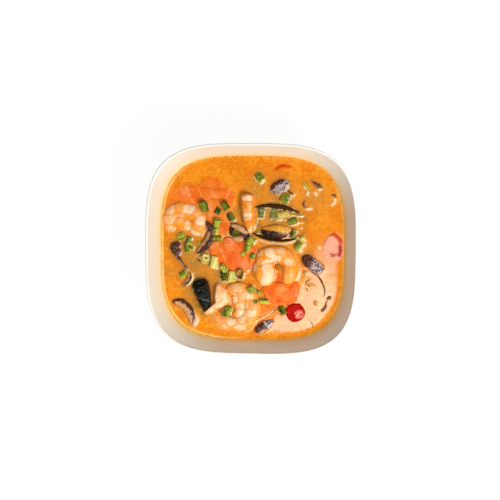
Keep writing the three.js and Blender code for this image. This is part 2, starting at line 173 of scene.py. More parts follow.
def capped(grid, **values):
    """The body of a grid of points [row, column]. It closes round its columns, and its first and
    last rows are single points.
    """

    def in_line(field):
        inner = field[1:-1].reshape(-1, *field.shape[2:])
        return np.concatenate([field[:1, 0], inner, field[-1:, 0]])

    rows, columns = grid.shape[0] - 2, grid.shape[1]
    ring = np.arange(rows * columns).reshape(rows, columns) + 1
    after = np.roll(ring, -1, axis=1)
    last = rows * columns + 1
    sides = np.stack([ring[:-1], ring[1:], after[1:], after[:-1]], axis=-1).reshape(-1, 4)
    top = [(0, int(a), int(b)) for a, b in zip(ring[0], after[0])]
    bottom = [(last, int(b), int(a)) for a, b in zip(ring[-1], after[-1])]
    carried = {name: in_line(value) for name, value in values.items()}
    return Shape(in_line(grid), sides.tolist() + top + bottom, carried)


def looped(grid, **values):
    """The body of a grid that closes round its rows and its columns."""
    rows, columns = grid.shape[:2]
    number = np.arange(rows * columns).reshape(rows, columns)
    below = np.roll(number, -1, axis=0)
    corners = [number, below, np.roll(below, -1, axis=1), np.roll(number, -1, axis=1)]
    carried = {name: value.reshape(-1) for name, value in values.items()}
    return Shape(grid.reshape(-1, 3), np.stack(corners, -1).reshape(-1, 4).tolist(), carried)


def joined_mesh(bodies):
    """The vertices and the faces of some bodies, as one mesh."""
    faces, start = [], 0
    for body in bodies:
        faces += [tuple(corner + start for corner in face) for face in body.faces]
        start += len(body.points)
    return np.concatenate([body.points for body in bodies]), faces


def joined(bodies):
    """Bodies that carry the same values, as one."""
    names = bodies[0].values
    values = {name: np.concatenate([body.values[name] for body in bodies]) for name in names}
    return Shape(*joined_mesh(bodies), values)


def normals_of(grid):
    """Unit normals of a grid, pointing away from the middle of each of its rows."""
    down = np.gradient(grid, axis=0)
    across = (np.roll(grid, -1, axis=1) - np.roll(grid, 1, axis=1)) / 2
    normal = np.cross(across, down)
    normal /= np.maximum(np.linalg.norm(normal, axis=-1, keepdims=True), 1e-9)
    outward = grid - grid.mean(axis=1, keepdims=True)
    sign = np.sign((normal * outward).sum(-1).sum())
    return normal * (sign or 1)


END_CROWDING = 0.55  # how much closer together the stations of a sweep are at its ends


def lofted(spine, sides=48, stations=120, blunt=0.12, ridges=0, depth=0):
    """A rounded body along a curve, as rows of [x, y, lift, half width, half height].

    Gives its points, and for each its share of the length and its turn round it. A turn of 0 is
    the right hand side, seen along the curve.
    """
    spine = np.array(spine, float)
    spine[:, 2] += SOUP_LEVEL
    v = np.linspace(0, 1, stations + 1)
    t = v - END_CROWDING * np.sin(v * 2 * np.pi) / (2 * np.pi)
    turn = np.arange(sides) / sides
    path = through(spine[:, :3], t)
    girth = through(spine[:, 3:], t)
    step = 1e-3
    ahead = through(spine[:, :3], np.minimum(t + step, 1))
    along = ahead - through(spine[:, :3], np.maximum(t - step, 0))
    along /= np.linalg.norm(along, axis=-1, keepdims=True)
    side = np.cross(along, (0, 0, 1))
    side /= np.linalg.norm(side, axis=-1, keepdims=True)
    up = np.cross(side, along)
    near = np.minimum(1, np.minimum(t, 1 - t) / blunt)
    rounding = np.sqrt(np.maximum(0, 1 - (1 - near) ** 2))
    rounding = (rounding * (1 + depth * np.cos(t * ridges * 2 * np.pi)))[:, None]
    across = (np.cos(turn * 2 * np.pi) * girth[:, :1] * rounding)[..., None]
    high = (np.sin(turn * 2 * np.pi) * girth[:, 1:] * rounding)[..., None]
    t_grid, turn_grid = np.meshgrid(t, turn, indexing="ij")
    return path[:, None] + side[:, None] * across + up[:, None] * high, t_grid, turn_grid


def cushion(outline, top, bottom, sides=96, rings=48, edge=0.5):
    """A cushion over an outline of [x, y] points, with rounded edges.

    Gives its points, and for each how far it is from the middle of the outline: 1 is the edge.
    """
    outline = np.array(outline, float)
    middle = outline.mean(0)
    v = np.linspace(0, 1, rings + 1)
    turn = np.arange(sides) / sides
    reach = np.sin(v * np.pi).clip(0) ** edge
    height = np.sign(np.cos(v * np.pi)) * np.abs(np.cos(v * np.pi)) ** edge
    lift = np.where(height > 0, height * top, height * -bottom)
    flat = middle + (through(outline, turn, closed=True) - middle) * reach[:, None, None]
    high = np.broadcast_to((SOUP_LEVEL + lift)[:, None, None], flat.shape[:2] + (1,))
    out = np.broadcast_to(reach[:, None], flat.shape[:2])
    return np.concatenate([flat, high], axis=-1), out


def oval(x, y, half_length, half_width, degrees):
    """An outline of points round an ellipse."""
    angle = np.linspace(0, 2 * np.pi, 16, endpoint=False)
    along, across = np.cos(angle) * half_length, np.sin(angle) * half_width
    turn = math.radians(degrees)
    return np.stack([
        x + along * math.cos(turn) - across * math.sin(turn),
        y + along * math.sin(turn) + across * math.cos(turn),
    ], axis=-1)


# Each piece in the soup: its shape, its colour, how far it shows through, and how much foam
# gathers at it, or None if the soup doesn't climb it.
floating = []


def made(name, shape, finish, slot, *nodes, tint=None, halo=0.2, foam=0.0):
    """The Blender object of a shape. It rides on the bowl's body and stands for the nodes."""
    mesh = bpy.data.meshes.new(name)
    mesh.from_pydata((shape.points * MM).tolist(), [], shape.faces)
    mesh.shade_smooth()
    for key, value in shape.values.items():
        kind = "FLOAT_COLOR" if value.ndim == 2 else "FLOAT"
        field = "color" if value.ndim == 2 else "value"
        layer = mesh.attributes.new(key, kind, "POINT")
        layer.data.foreach_set(field, np.ascontiguousarray(value, np.float32).ravel())
    mesh.materials.append(finish)
    piece = bpy.data.objects.new(name, mesh)
    bpy.context.scene.collection.objects.link(piece)
    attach(piece, "root")
    if nodes:
        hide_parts(*nodes)
    if tint:
        floating.append((shape, tint, halo, foam))
    return piece


# ---- Materials ----

class Finish:
    """A material in the making, with short calls for its nodes."""

    def __init__(self, name, shader_values):
        self.material = bpy.data.materials.new(name)
        self.material.use_nodes = True
        self.tree = self.material.node_tree
        self.shader = self.tree.nodes["Principled BSDF"]
        for key, value in shader_values.items():
            self.shader.inputs[key].default_value = value

    def node(self, kind, *inputs, **settings):
        made_node = self.tree.nodes.new(kind)
        for key, value in settings.items():
            setattr(made_node, key, value)
        for key, value in inputs:
            self.put(made_node.inputs[key], value)
        return made_node

    def put(self, socket, value):
        if isinstance(value, bpy.types.NodeSocket):
            self.tree.links.new(value, socket)
        elif socket.type == "RGBA" and len(value) == 3:
            socket.default_value = (*value, 1)
        else:
            socket.default_value = value

    def set(self, name, value):
        self.put(self.shader.inputs[name], value)

    def carried(self, name, output="Fac"):
        return self.node("ShaderNodeAttribute", attribute_name=name).outputs[output]

    def place(self):
        return self.node("ShaderNodeTexCoord").outputs["Object"]

    def lift(self):
        """Height above the soup's surface, in millimetres."""
        height = self.node("ShaderNodeSeparateXYZ", ("Vector", self.place())).outputs["Z"]
        return self.math("MULTIPLY_ADD", height, 1 / MM, -SOUP_LEVEL)

    def noise(self, size, detail=3, rough=0.5, warp=0, place=None):
        """Noise from 0 to 1 with features of about a size in millimetres."""
        return self.node(
            "ShaderNodeTexNoise", ("Vector", place or self.place()), ("Scale", 1 / (size * MM)),
            ("Detail", detail), ("Roughness", rough), ("Distortion", warp),
        ).outputs["Fac"]

    def cells(self, size, feature="F1", output="Distance", jitter=1):
        return self.node(
            "ShaderNodeTexVoronoi", ("Vector", self.place()), ("Scale", 1 / (size * MM)),
            ("Randomness", jitter), feature=feature,
        ).outputs[output]

    def ramp(self, value, low, high, to_low=0, to_high=1):
        """Value, spread smoothly from low and high to the two given ends."""
        return self.node(
            "ShaderNodeMapRange", ("Value", value), ("From Min", low), ("From Max", high),
            ("To Min", to_low), ("To Max", to_high), interpolation_type="SMOOTHSTEP",
        ).outputs["Result"]

    def math(self, operation, a, b=0.0, c=0.0):
        return self.node(
            "ShaderNodeMath", (0, a), (1, b), (2, c), operation=operation
        ).outputs[0]

    def times(self, a, b):
        return self.math("MULTIPLY", a, b)

    def mix(self, share, a, b, blend="MIX"):
        mixer = self.node("ShaderNodeMix", data_type="RGBA", blend_type=blend)
        for number, value in ((0, share), (6, a), (7, b)):
            self.put(mixer.inputs[number], value)
        return mixer.outputs[2]

    def dab(self, colour, value, low, high, most, other, blend="MIX"):
        """A colour that turns to another, by most at most, as the value goes from low to high."""
        return self.mix(self.ramp(value, low, high, 0, most), colour, other, blend)

    def bump(self, height, depth, after=None):
        """A bump as deep as depth millimetres where the height goes from 0 to 1."""
        inputs = [("Height", height), ("Distance", depth * MM), ("Strength", 1.0)]
        if after:
            inputs.append(("Normal", after))
        return self.node("ShaderNodeBump", *inputs).outputs["Normal"]


def rgb(red, green, blue):
    """A colour given as on a screen, from 0 to 255, as the linear values that a shader takes."""
    return tuple(
        c / 12.92 if c <= 0.04045 else ((c + 0.055) / 1.055) ** 2.4
        for c in (red / 255, green / 255, blue / 255)
    )


SOUP_LIGHT = rgb(249, 152, 30)
SOUP_DEEP = rgb(238, 132, 18)


def wetted(finish, colour, reach=1.3, most=0.85):
    """A colour that turns to the soup's just above its surface, where a film of it clings."""
    ragged = finish.math("MULTIPLY_ADD", finish.noise(2.2), 1.4, -0.7)
    height = finish.math("ADD", finish.lift(), ragged)
    return finish.mix(finish.ramp(height, 0.1, reach, most, 0), colour, SOUP_LIGHT)


def creamy(finish):
    """The soup's own mottled colour: cream, spice and fine oil."""
    broad = finish.noise(16, detail=4)
    colour = finish.mix(finish.ramp(broad, 0.35, 0.65), SOUP_LIGHT, SOUP_DEEP)
    clouds = finish.noise(4, detail=4, rough=0.6)
    colour = finish.dab(colour, clouds, 0.5, 0.66, 0.6, rgb(232, 112, 8))
    return finish.dab(colour, clouds, 0.48, 0.32, 0.6, rgb(250, 168, 58))


def grainy(finish, colour):
    """A colour with the soup's fine oil and spice over it."""
    fine = finish.noise(1.3, detail=3, rough=0.6)
    grain = finish.noise(0.8, detail=2)
    colour = finish.dab(colour, fine, 0.5, 0.66, 0.42, rgb(212, 100, 8), "MULTIPLY")
    colour = finish.dab(colour, fine, 0.46, 0.32, 0.38, rgb(255, 190, 84))
    return finish.dab(colour, grain, 0.54, 0.68, 0.26, rgb(184, 92, 20))


# ---- The bowl ----

def bezier(points, steps):
    t = np.linspace(0, 1, steps + 1)[:, None]
    a, b, c, d = (np.array(point, float) for point in points)
    return a * (1 - t) ** 3 + 3 * b * t * (1 - t) ** 2 + 3 * c * t * t * (1 - t) + d * t ** 3


lip_radius = RIM_EDGE / 2
lip_height = BOWL_HEIGHT - lip_radius
INNER_WALL = [(FLOOR_HALF, FLOOR_TOP), (72, FLOOR_TOP), (82, 42), (RIM_HALF - RIM_EDGE, lip_height)]
OUTER_WALL = [(RIM_HALF, lip_height), (85.5, 38), (73, 6), (FOOT_HALF, FOOT_HEIGHT)]


WALL_STEPS = 48


def wall_at(height):
    """Half the width of the bowl's inside at a height."""
    curve = bezier(INNER_WALL, 200)
    return np.interp(height, curve[:, 1], curve[:, 0])


def square_turned(radius, height, angle):
    """Points of a turned section whose rounds are superellipses, squarer towards the rim."""
    share = np.clip(np.asarray(height, float) / BOWL_HEIGHT, 0, 1)
    power = FOOT_SQUARENESS + (RIM_SQUARENESS - FOOT_SQUARENESS) * share
    across, along = np.abs(np.cos(angle)) ** power, np.abs(np.sin(angle)) ** power
    reach = radius * (across + along) ** (-1 / power)
    return np.stack(np.broadcast_arrays(reach * np.cos(angle), reach * np.sin(angle), height), -1)


def crowded_angles(count):
    even = full_turn(count)
    return even + CORNER_CROWDING * np.sin(even * 4)


def rounded_corner(corner, before, after, radius, steps=5):
    """Points of an arc that rounds off a corner of a section."""
    corner, before, after = (np.array(point, float) for point in (corner, before, after))
    start = corner + (before - corner) / np.linalg.norm(before - corner) * radius
    end = corner + (after - corner) / np.linalg.norm(after - corner) * radius
    t = np.linspace(0, 1, steps + 1)[:, None]
    return start * (1 - t) ** 2 + 2 * corner * t * (1 - t) + end * t * t


def bowl_shape():
    turn = np.linspace(0, np.pi, 10)[1:-1]
    lip = np.stack([
        RIM_HALF - lip_radius - np.cos(turn) * lip_radius,
        lip_height + np.sin(turn) * lip_radius,
    ], -1)
    ring_in = FOOT_HALF - FOOT_WIDTH
    section = np.concatenate([
        [(0, FLOOR_TOP), (FLOOR_HALF / 2, FLOOR_TOP)],
        bezier(INNER_WALL, WALL_STEPS),
        lip,
        bezier(OUTER_WALL, 40),
        rounded_corner((FOOT_HALF, 0), (FOOT_HALF, FOOT_HEIGHT), (ring_in, 0), 1),
        rounded_corner((ring_in, 0), (FOOT_HALF, 0), (ring_in, FOOT_RECESS), 1),
        rounded_corner((ring_in, FOOT_RECESS), (ring_in, 0), (0, FOOT_RECESS), 1.2),
        [(ring_in / 2, FOOT_RECESS), (0, FOOT_RECESS)],
    ])
    radius, height = section[:, :1], section[:, 1:]
    grid = square_turned(radius, height, crowded_angles(256)[None, :])
    inside_points = 2 + WALL_STEPS + 1 + len(lip) // 2
    inner = (np.arange(len(section)) < inside_points)[:, None]
    return capped(grid, inner=inner * np.ones(grid.shape[:2]))


def porcelain():
    """White glaze, a little thinner at the lip, with a film that the soup has left on it, and
    painted warm bounce light from the soup low on its inside.
    """
    finish = Finish("Porcelain", {"Roughness": 0.14, "IOR": 1.5})
    cloud = finish.noise(26, detail=3)
    inner = finish.carried("inner")
    glaze = finish.mix(cloud, rgb(230, 214, 196), rgb(238, 225, 209))
    glaze = finish.mix(inner, rgb(240, 235, 228), glaze)
    lift = finish.lift()
    from_lip = finish.math("SUBTRACT", lift, BOWL_HEIGHT - SOUP_LEVEL)
    lip = finish.ramp(from_lip, -2.6, -0.4)
    glaze = finish.mix(lip, glaze, rgb(250, 246, 240))
    pits = finish.ramp(finish.cells(5), 0.02, 0.07, 1, 0)
    glaze = finish.mix(finish.times(pits, 0.2), glaze, rgb(150, 130, 110))
    ragged = finish.math("MULTIPLY_ADD", finish.noise(9, detail=4), 5, -2.5)
    above = finish.math("SUBTRACT", lift, ragged)
    # Painted bounce light: the inside turns warm for about 10 mm above the soup, as if lit by the
    # orange soup.
    painted_bounce = finish.times(finish.ramp(above, 0.0, 10.0, 0.85, 0), inner)
    colour = finish.mix(painted_bounce, glaze, rgb(248, 214, 150))
    film = finish.times(finish.ramp(above, 0.0, 4.2, 0.95, 0), inner)
    streaks = finish.ramp(finish.noise(2.5, detail=4), 0.35, 0.65, 0.7, 1)
    film = finish.times(film, streaks)
    finish.set("Base Color", finish.mix(film, colour, rgb(252, 194, 92)))
    finish.set("Roughness", finish.ramp(cloud, 0.3, 0.7, 0.1, 0.18))
    finish.set("Normal", finish.bump(finish.noise(12, detail=2), 0.05))
    return finish.material


# ---- Shrimps ----

SHRIMP_BODY = {"ridges": 5, "depth": 0.05, "sides": 80, "stations": 220}
SEGMENT_RELIEF = 0.6  # height of a muscle block over the creases between

# The sweeps of each shrimp, and the outline and paleness of each muscle block on its upper side.
SHRIMPS = {
    "left": (
        [([
            [-81, 14.5, -2.2, 5.5, 4.5],
            [-82.5, 27.5, -1.5, 7.5, 5.5],
            [-75.5, 37, -1, 8, 6],
            [-65, 37, -1, 8.2, 6],
            [-56, 31.5, -1, 9, 6],
            [-54.8, 22, -0.8, 9.2, 6],
            [-57.4, 12, -0.8, 8, 5.4],
        ], SHRIMP_BODY), ([
            [-79, 25, -1.4, 4.5, 4],
            [-73, 26, -0.8, 7, 5],
            [-64, 24.5, -0.9, 8, 5],
            [-57, 21, -1.2, 5.5, 4.6],
        ], {"sides": 56, "stations": 80})],
        [
            ([[-80.4, 44.8], [-76.5, 43], [-76.5, 37], [-79.9, 34], [-85, 34], [-88, 36],
              [-85.4, 41]], 0.8),
            ([[-68.8, 41.6], [-62.6, 46], [-56, 42.4], [-56.5, 38], [-61.5, 33.6],
              [-67.6, 36]], 1.0),
            ([[-90, 31.6], [-84.3, 32.8], [-76.5, 32], [-74.9, 28.8], [-76.5, 24.2], [-83.2, 23],
              [-89, 25.5]], 0.5),
            ([[-86.5, 22.1], [-79.9, 22.1], [-77.2, 19.4], [-79.9, 15], [-84.8, 15.6]], 0.55),
            ([[-54.9, 30.6], [-46.5, 33], [-43.6, 28.3], [-47.6, 22.6], [-54.3, 23.4],
              [-57.1, 26.6]], 0.9),
            ([[-67.4, 21.8], [-62.6, 22.2], [-58.8, 18.3], [-51, 13.6], [-46.5, 11.8], [-50.5, 8.4],
              [-57.6, 9.6], [-64.5, 15.8]], 0.95),
            ([[-60.5, 22.2], [-46.5, 21.6], [-45.2, 13.8], [-51, 14.8], [-57.6, 18.8]], 0.3),
            ([[-74, 33], [-68.6, 33.8], [-68, 29], [-70.4, 26.6], [-74.3, 28]], 0.55),
            ([[-68.8, 26.8], [-64.3, 27.8], [-60.2, 26], [-62.4, 22.8], [-67.6, 22.6]], 0.6),
            ([[-75.6, 45], [-69, 46], [-68.6, 35.6], [-75.4, 34.6]], 0.3),
            ([[-55, 41.6], [-46.8, 35.4], [-55.2, 31.6], [-61, 33.2]], 0.35),
        ], 0.18,
    ),
    "right": (
        [([
            [15.5, -37, 1.5, 8.5, 5],
            [13, -27.5, 1.5, 10.3, 6.5],
            [11.5, -17.5, 0.5, 10.5, 6.5],
            [14.5, -8.5, -0.5, 10, 6.5],
            [24, -4.5, -0.5, 9, 6.5],
            [34, -8.5, -0.5, 8.5, 6.5],
            [38, -18.5, -0.5, 8, 6],
            [36, -29.5, -0.5, 7.5, 5.5],
            [32, -36.5, -1, 5, 4.5],
        ], SHRIMP_BODY)],
        [
            ([[10.6, -16], [15.6, -13.9], [20.1, -16], [23.5, -21.8], [23.5, -29.3], [17.6, -35.4],
              [8, -38], [9.3, -31], [11.2, -24.3]], 1.05),
            ([[9.3, -12.7], [14.3, -10], [20.1, -11], [21, -13.3], [15.1, -12.9],
              [10, -14.8]], 0.9),
            ([[12.6, -0.6], [16, 1.7], [21.8, 0], [23.4, -4.4], [21, -8.8], [16.6, -8.6],
              [13, -5.2]], 0.85),
            ([[19, -9.8], [23.5, -6.2], [28.5, -6.6], [29.7, -11], [26.8, -13.6],
              [21, -12.6]], 0.95),
            ([[24.7, 1.7], [31.8, 2.4], [33.5, -2.7], [32.6, -6], [26.8, -5.8], [24, -2.7]], 0.55),
            ([[2, -4.4], [4.7, -1.2], [11, -0.4], [11.8, -2.7], [9.3, -6.6], [3.3, -7.8]], 0.6),
            ([[31.6, -10.4], [36.8, -8.7], [40.8, -11.8], [39.5, -16], [34.3, -16.2],
              [31.6, -13.5]], 0.75),
            ([[-1, -16.8], [2.6, -14.1], [6, -16], [4.7, -21], [1.8, -24.2], [-1, -21]], 0.7),
            ([[3.4, -8.4], [10.1, -7.9], [8.6, -14.4], [4.6, -14.4]], 0.3),
            ([[6.2, -17.6], [9.9, -17.4], [9, -24.3], [7.6, -32.4], [3.7, -31.4],
              [1.8, -25.4]], 0.15),
            ([[31.6, -16.8], [40.1, -17.4], [44.6, -24.3], [44.2, -31], [38.5, -34], [30.8, -33],
              [31.2, -24.3]], 0.3),
            ([[35.1, -1.4], [42, -6.6], [44.6, -14.3], [41.2, -17], [40.6, -11], [36.2, -7]], 0.35),
        ], 0.1,
    ),
    "front": (
        [([
            [-26, -40.5, 0, 6.5, 5],
            [-13, -41.5, 0, 9, 6],
            [-3, -50.5, -0.5, 9, 6],
            [-0.5, -62.5, -0.5, 9, 6],
            [-7.5, -73.5, -0.5, 8.5, 5.5],
            [-20, -75.5, -1, 7.5, 5.5],
            [-32, -73, -1.5, 7.5, 5],
            [-40, -67, -2, 5, 4],
        ], SHRIMP_BODY), ([
            [-18, -45, -0.6, 4, 4],
            [-13.5, -53, -0.6, 6.5, 5],
            [-12.5, -62, -0.8, 6.5, 5],
            [-18, -69.5, -1, 4.5, 4],
        ], {"sides": 56, "stations": 80})],
        [
            ([[-19.9, -36.2], [-14.3, -34], [-10, -39], [-11, -43.6], [-16.5, -43.4],
              [-19.5, -40.7]], 0.6),
            ([[-21, -48.4], [-17.6, -44.8], [-14, -48.4], [-15, -53.6], [-19.9, -55.1],
              [-21.7, -52.3]], 0.95),
            ([[-13.8, -44.6], [-7.2, -42.6], [-6.2, -49.6], [-12, -52], [-13.4, -48.4]], 0.55),
            ([[-6, -43.6], [0.8, -43.2], [1.2, -48.6], [-4, -51], [-6, -48]], 0.75),
            ([[-15.2, -54.2], [-8.8, -52.5], [-2.8, -55], [-3.8, -60], [-11, -59.8],
              [-16.5, -58]], 0.6),
            ([[-15, -61], [-8.8, -60.6], [-5, -63.6], [-6, -70.7], [-11, -75],
              [-14.5, -69.5]], 0.85),
            ([[-4.6, -61.6], [4.4, -60], [4.4, -65.3], [-2, -69], [-5, -66.2]], 0.85),
            ([[-25.2, -71.2], [-21, -68.6], [-16.2, -71], [-16.8, -75.2], [-22.1, -78.3],
              [-25.8, -75.2]], 1.0),
            ([[-19, -78.2], [-13.2, -75.6], [-6.2, -76], [-6.6, -80.6], [-14.3, -82.4]], 0.85),
            ([[-31.4, -77.3], [-27.1, -75.9], [-23.6, -79], [-27.6, -81.3]], 0.75),
            ([[-42, -65.1], [-33.2, -63.6], [-26.8, -68.4], [-26, -74], [-31, -76],
              [-38.4, -72.4]], 0.35),
            ([[-5.2, -68.8], [1.2, -68.8], [0, -76.2], [-5.6, -75.1]], 0.3),
            ([[-1.8, -50.9], [4.4, -53], [5.2, -59.2], [-2.4, -60]], 0.4),
        ], 0.32,
    ),
    "tail": (
        [([
            [-5, 54.5, 2.5, 6, 4.5],
            [-4.5, 43.5, 3.5, 6.3, 5],
            [-3.5, 32.5, 4, 6, 5],
            [-2, 23.5, 4, 4.6, 4],
            [-1.5, 15, 3.5, 1.8, 2],
        ], {"sides": 80, "stations": 200, "blunt": 0.08, "ridges": 3, "depth": 0.05})],
        [
            ([[-11.6, 50], [-9.9, 53.6], [-7.1, 53.2], [-2.6, 55.6], [0.4, 52.6], [1.6, 47.8],
              [-9.9, 47.8]], 0.8),
            ([[-11, 47.4], [-5.4, 47.2], [-5.4, 41], [-9.6, 40]], 0.12),
            ([[-5, 47.2], [0.8, 46.9], [1.2, 41.1], [-0.3, 36.9], [-9, 36.4], [-9.2, 39.6],
              [-4.6, 41]], 0.42),
            ([[-9, 35.2], [0.6, 36.2], [1.1, 33.2], [-3, 31.6], [-8.6, 31]], 1.1),
            ([[-8.6, 31.6], [0.6, 32.8], [1.2, 29.4], [-8, 26.8]], 0.55),
            ([[-7.6, 27.2], [1.2, 29.2], [2, 24.5], [-6.4, 21.2]], 0.1),
            ([[-5.8, 20.4], [1.2, 22.8], [0.9, 18.9], [-2, 14], [-5.2, 15]], 0.7),
            ([[1.7, 45.6], [4.2, 41.1], [4.6, 32.2], [3.2, 24.5], [1.6, 30], [1.5, 38.3]], -0.2),
        ], 0.1,
    ),
}

# The flat pale tail piece that lies on the front shrimp.
TAIL_PIECE = [
    [-34.6, -34.2], [-27.7, -38.9], [-21.4, -47.2], [-21, -52.4], [-26.9, -58.2], [-34.4, -61.5],
    [-41.9, -65.8], [-47, -66.6], [-48.2, -64.9], [-45.2, -63.2], [-39.4, -59.9], [-35.6, -54],
    [-37.3, -49], [-36.9, -40.7],
]


def muscle_blocks(grid, blocks, gap):
    """For each point: how far it is inside its nearest block, how pale and how creased."""
    x, y = grid[..., 0], grid[..., 1]
    waver = 0.45 * bumps(grid, 3.2, 1) + 0.3 * bumps(grid, 1.4, 2)
    first = np.full(x.shape, -9.0)
    second = first.copy()
    total = np.zeros(x.shape)
    mixed = total.copy()
    for outline, pale in blocks:
        inside = inward(x, y, outline) + waver
        second = np.maximum(second, np.minimum(first, inside))
        first = np.maximum(first, inside)
        share = np.clip((inside + 1.3) / 3, 0, 1)
        total += share
        mixed += share * pale
    between = gap + 0.14 * bumps(grid, 5, 34)
    own = mixed / np.maximum(total, 1e-6) * (1 + 0.3 * bumps(grid, 2.6, 34))
    paleness = between + (own - between) * np.clip(1.15 * total, 0, 1)
    crease = np.exp(-((first - second) / 0.5) ** 2) * smooth(first, -1.8, -0.5)
    return first, paleness, crease


def shrimp_shape(sweeps, blocks, gap):
    bodies = []
    for spine, settings in sweeps:
        grid, t, _ = lofted(spine, **settings)
        normal = normals_of(grid)
        facing_up = smooth(normal[..., 2], -0.1, 0.45)
        first, paleness, crease = muscle_blocks(grid, blocks, gap)
        bulge = 1 - np.exp(-np.clip(first + 1, 0, 9) / 2) - 0.3 * crease
        grain = 0.14 * bumps(grid, 2.2, 3) + 0.06 * bumps(grid, 0.9, 4)
        ends = smooth(np.minimum(t, 1 - t), 0, 0.04)
        relief = (SEGMENT_RELIEF * (bulge - 0.5) * facing_up + grain) * ends
        grid = grid + normal * relief[..., None]
        flank = smooth(normal[..., 2], 0.92, 0.45) * (0.8 + 0.2 * bumps(grid, 9, 5))
        bodies.append(
            capped(grid, pale=paleness * facing_up, crease=crease * facing_up, flank=flank)
        )
    return joined(bodies)


def tail_piece_shape():
    grid, out = cushion(TAIL_PIECE, 6.4, -1, sides=140, rings=70, edge=0.8)
    flat = grid * (1, 1, 0)
    outward = flat - flat.mean(axis=(0, 1))
    grid = grid + outward * (0.07 * bumps(flat, 4, 51) * out ** 3)[..., None]
    flat = grid * (1, 1, 0)
    x, y = flat[..., 0], flat[..., 1]
    tip = smooth(x + y, -88, -110)
    above = smooth(grid[..., 2] - SOUP_LEVEL, 0, 3)
    vane = np.exp(-(beside(x, y, [[-34, -38], [-29, -52], [-36, -58]]) / 1.2) ** 2)
    relief = 0.5 * bumps(flat, 5, 38) + 0.25 * bumps(flat, 1.8, 39) + 0.5 * vane
    grid[..., 2] += above * (relief - 2.2 * tip)
    along, across = turned(x, y, 60)
    streaks = bumps(np.stack([along / 4, across, 0 * x], -1), 1.5, 52)
    pale = 0.82 + 0.3 * bumps(flat, 3.4, 40) + 0.2 * streaks - 0.3 * smooth(out, 0.6, 1)
    pale -= 0.5 * spots(x, y, [(-37, -41, 4), (-22, -56, 4)])
    return capped(grid, pale=pale, crease=0 * pale, flank=0.5 * smooth(out, 0.94, 1.0))


def shrimp_finish():
    """Cooked shrimp: opaque white blocks of muscle with orange skin and thin brown creases."""
    finish = Finish("Shrimp", {
        "Roughness": 0.34, "IOR": 1.3, "Subsurface Weight": 0.15, "Subsurface Scale": 0.002,
        "Subsurface Radius": (1.0, 0.5, 0.25),
    })
    fibre = finish.noise(1.3, detail=4, rough=0.6)
    blotch = finish.noise(4.5, detail=3)
    orange = finish.mix(finish.ramp(blotch, 0.35, 0.65), rgb(252, 134, 8), rgb(255, 166, 40))
    orange = finish.dab(orange, fibre, 0.55, 0.75, 0.45, rgb(232, 96, 8))
    pale = finish.mix(finish.ramp(fibre, 0.35, 0.65), rgb(255, 192, 124), rgb(255, 222, 192))
    pale_share = finish.carried("pale")
    share = finish.math("ADD", pale_share, finish.math("MULTIPLY_ADD", fibre, 0.5, -0.25))
    colour = finish.mix(finish.ramp(share, 0.08, 0.98), orange, pale)
    flank = finish.times(finish.carried("flank"), 0.85)
    colour = finish.mix(flank, colour, rgb(255, 150, 36))
    crease = finish.times(finish.carried("crease"), finish.ramp(blotch, 0.3, 0.6, 0.1, 0.6))
    colour = finish.mix(crease, colour, rgb(204, 92, 16))
    finish.set("Base Color", wetted(finish, colour, 0.9, 0.7))
    finish.set("Roughness", finish.ramp(fibre, 0.3, 0.7, 0.2, 0.4))
    finish.set("Specular IOR Level", finish.ramp(finish.carried("flank"), 0, 0.45, 0.5, 0.03))
    finish.set("Normal", finish.bump(finish.noise(0.8, detail=3), 0.08))
    return finish.material


def make_shrimps():
    finish = shrimp_finish()
    for name, (sweeps, blocks, gap) in SHRIMPS.items():
        shape = shrimp_shape(sweeps, blocks, gap)
        if name == "front":
            shape = joined([shape, tail_piece_shape()])
        made(f"Shrimp_{name}", shape, finish, "shrimp", f"shrimp_{name}", tint=rgb(250, 176, 96),
             foam=0.3 if name == "right" else 0.0)
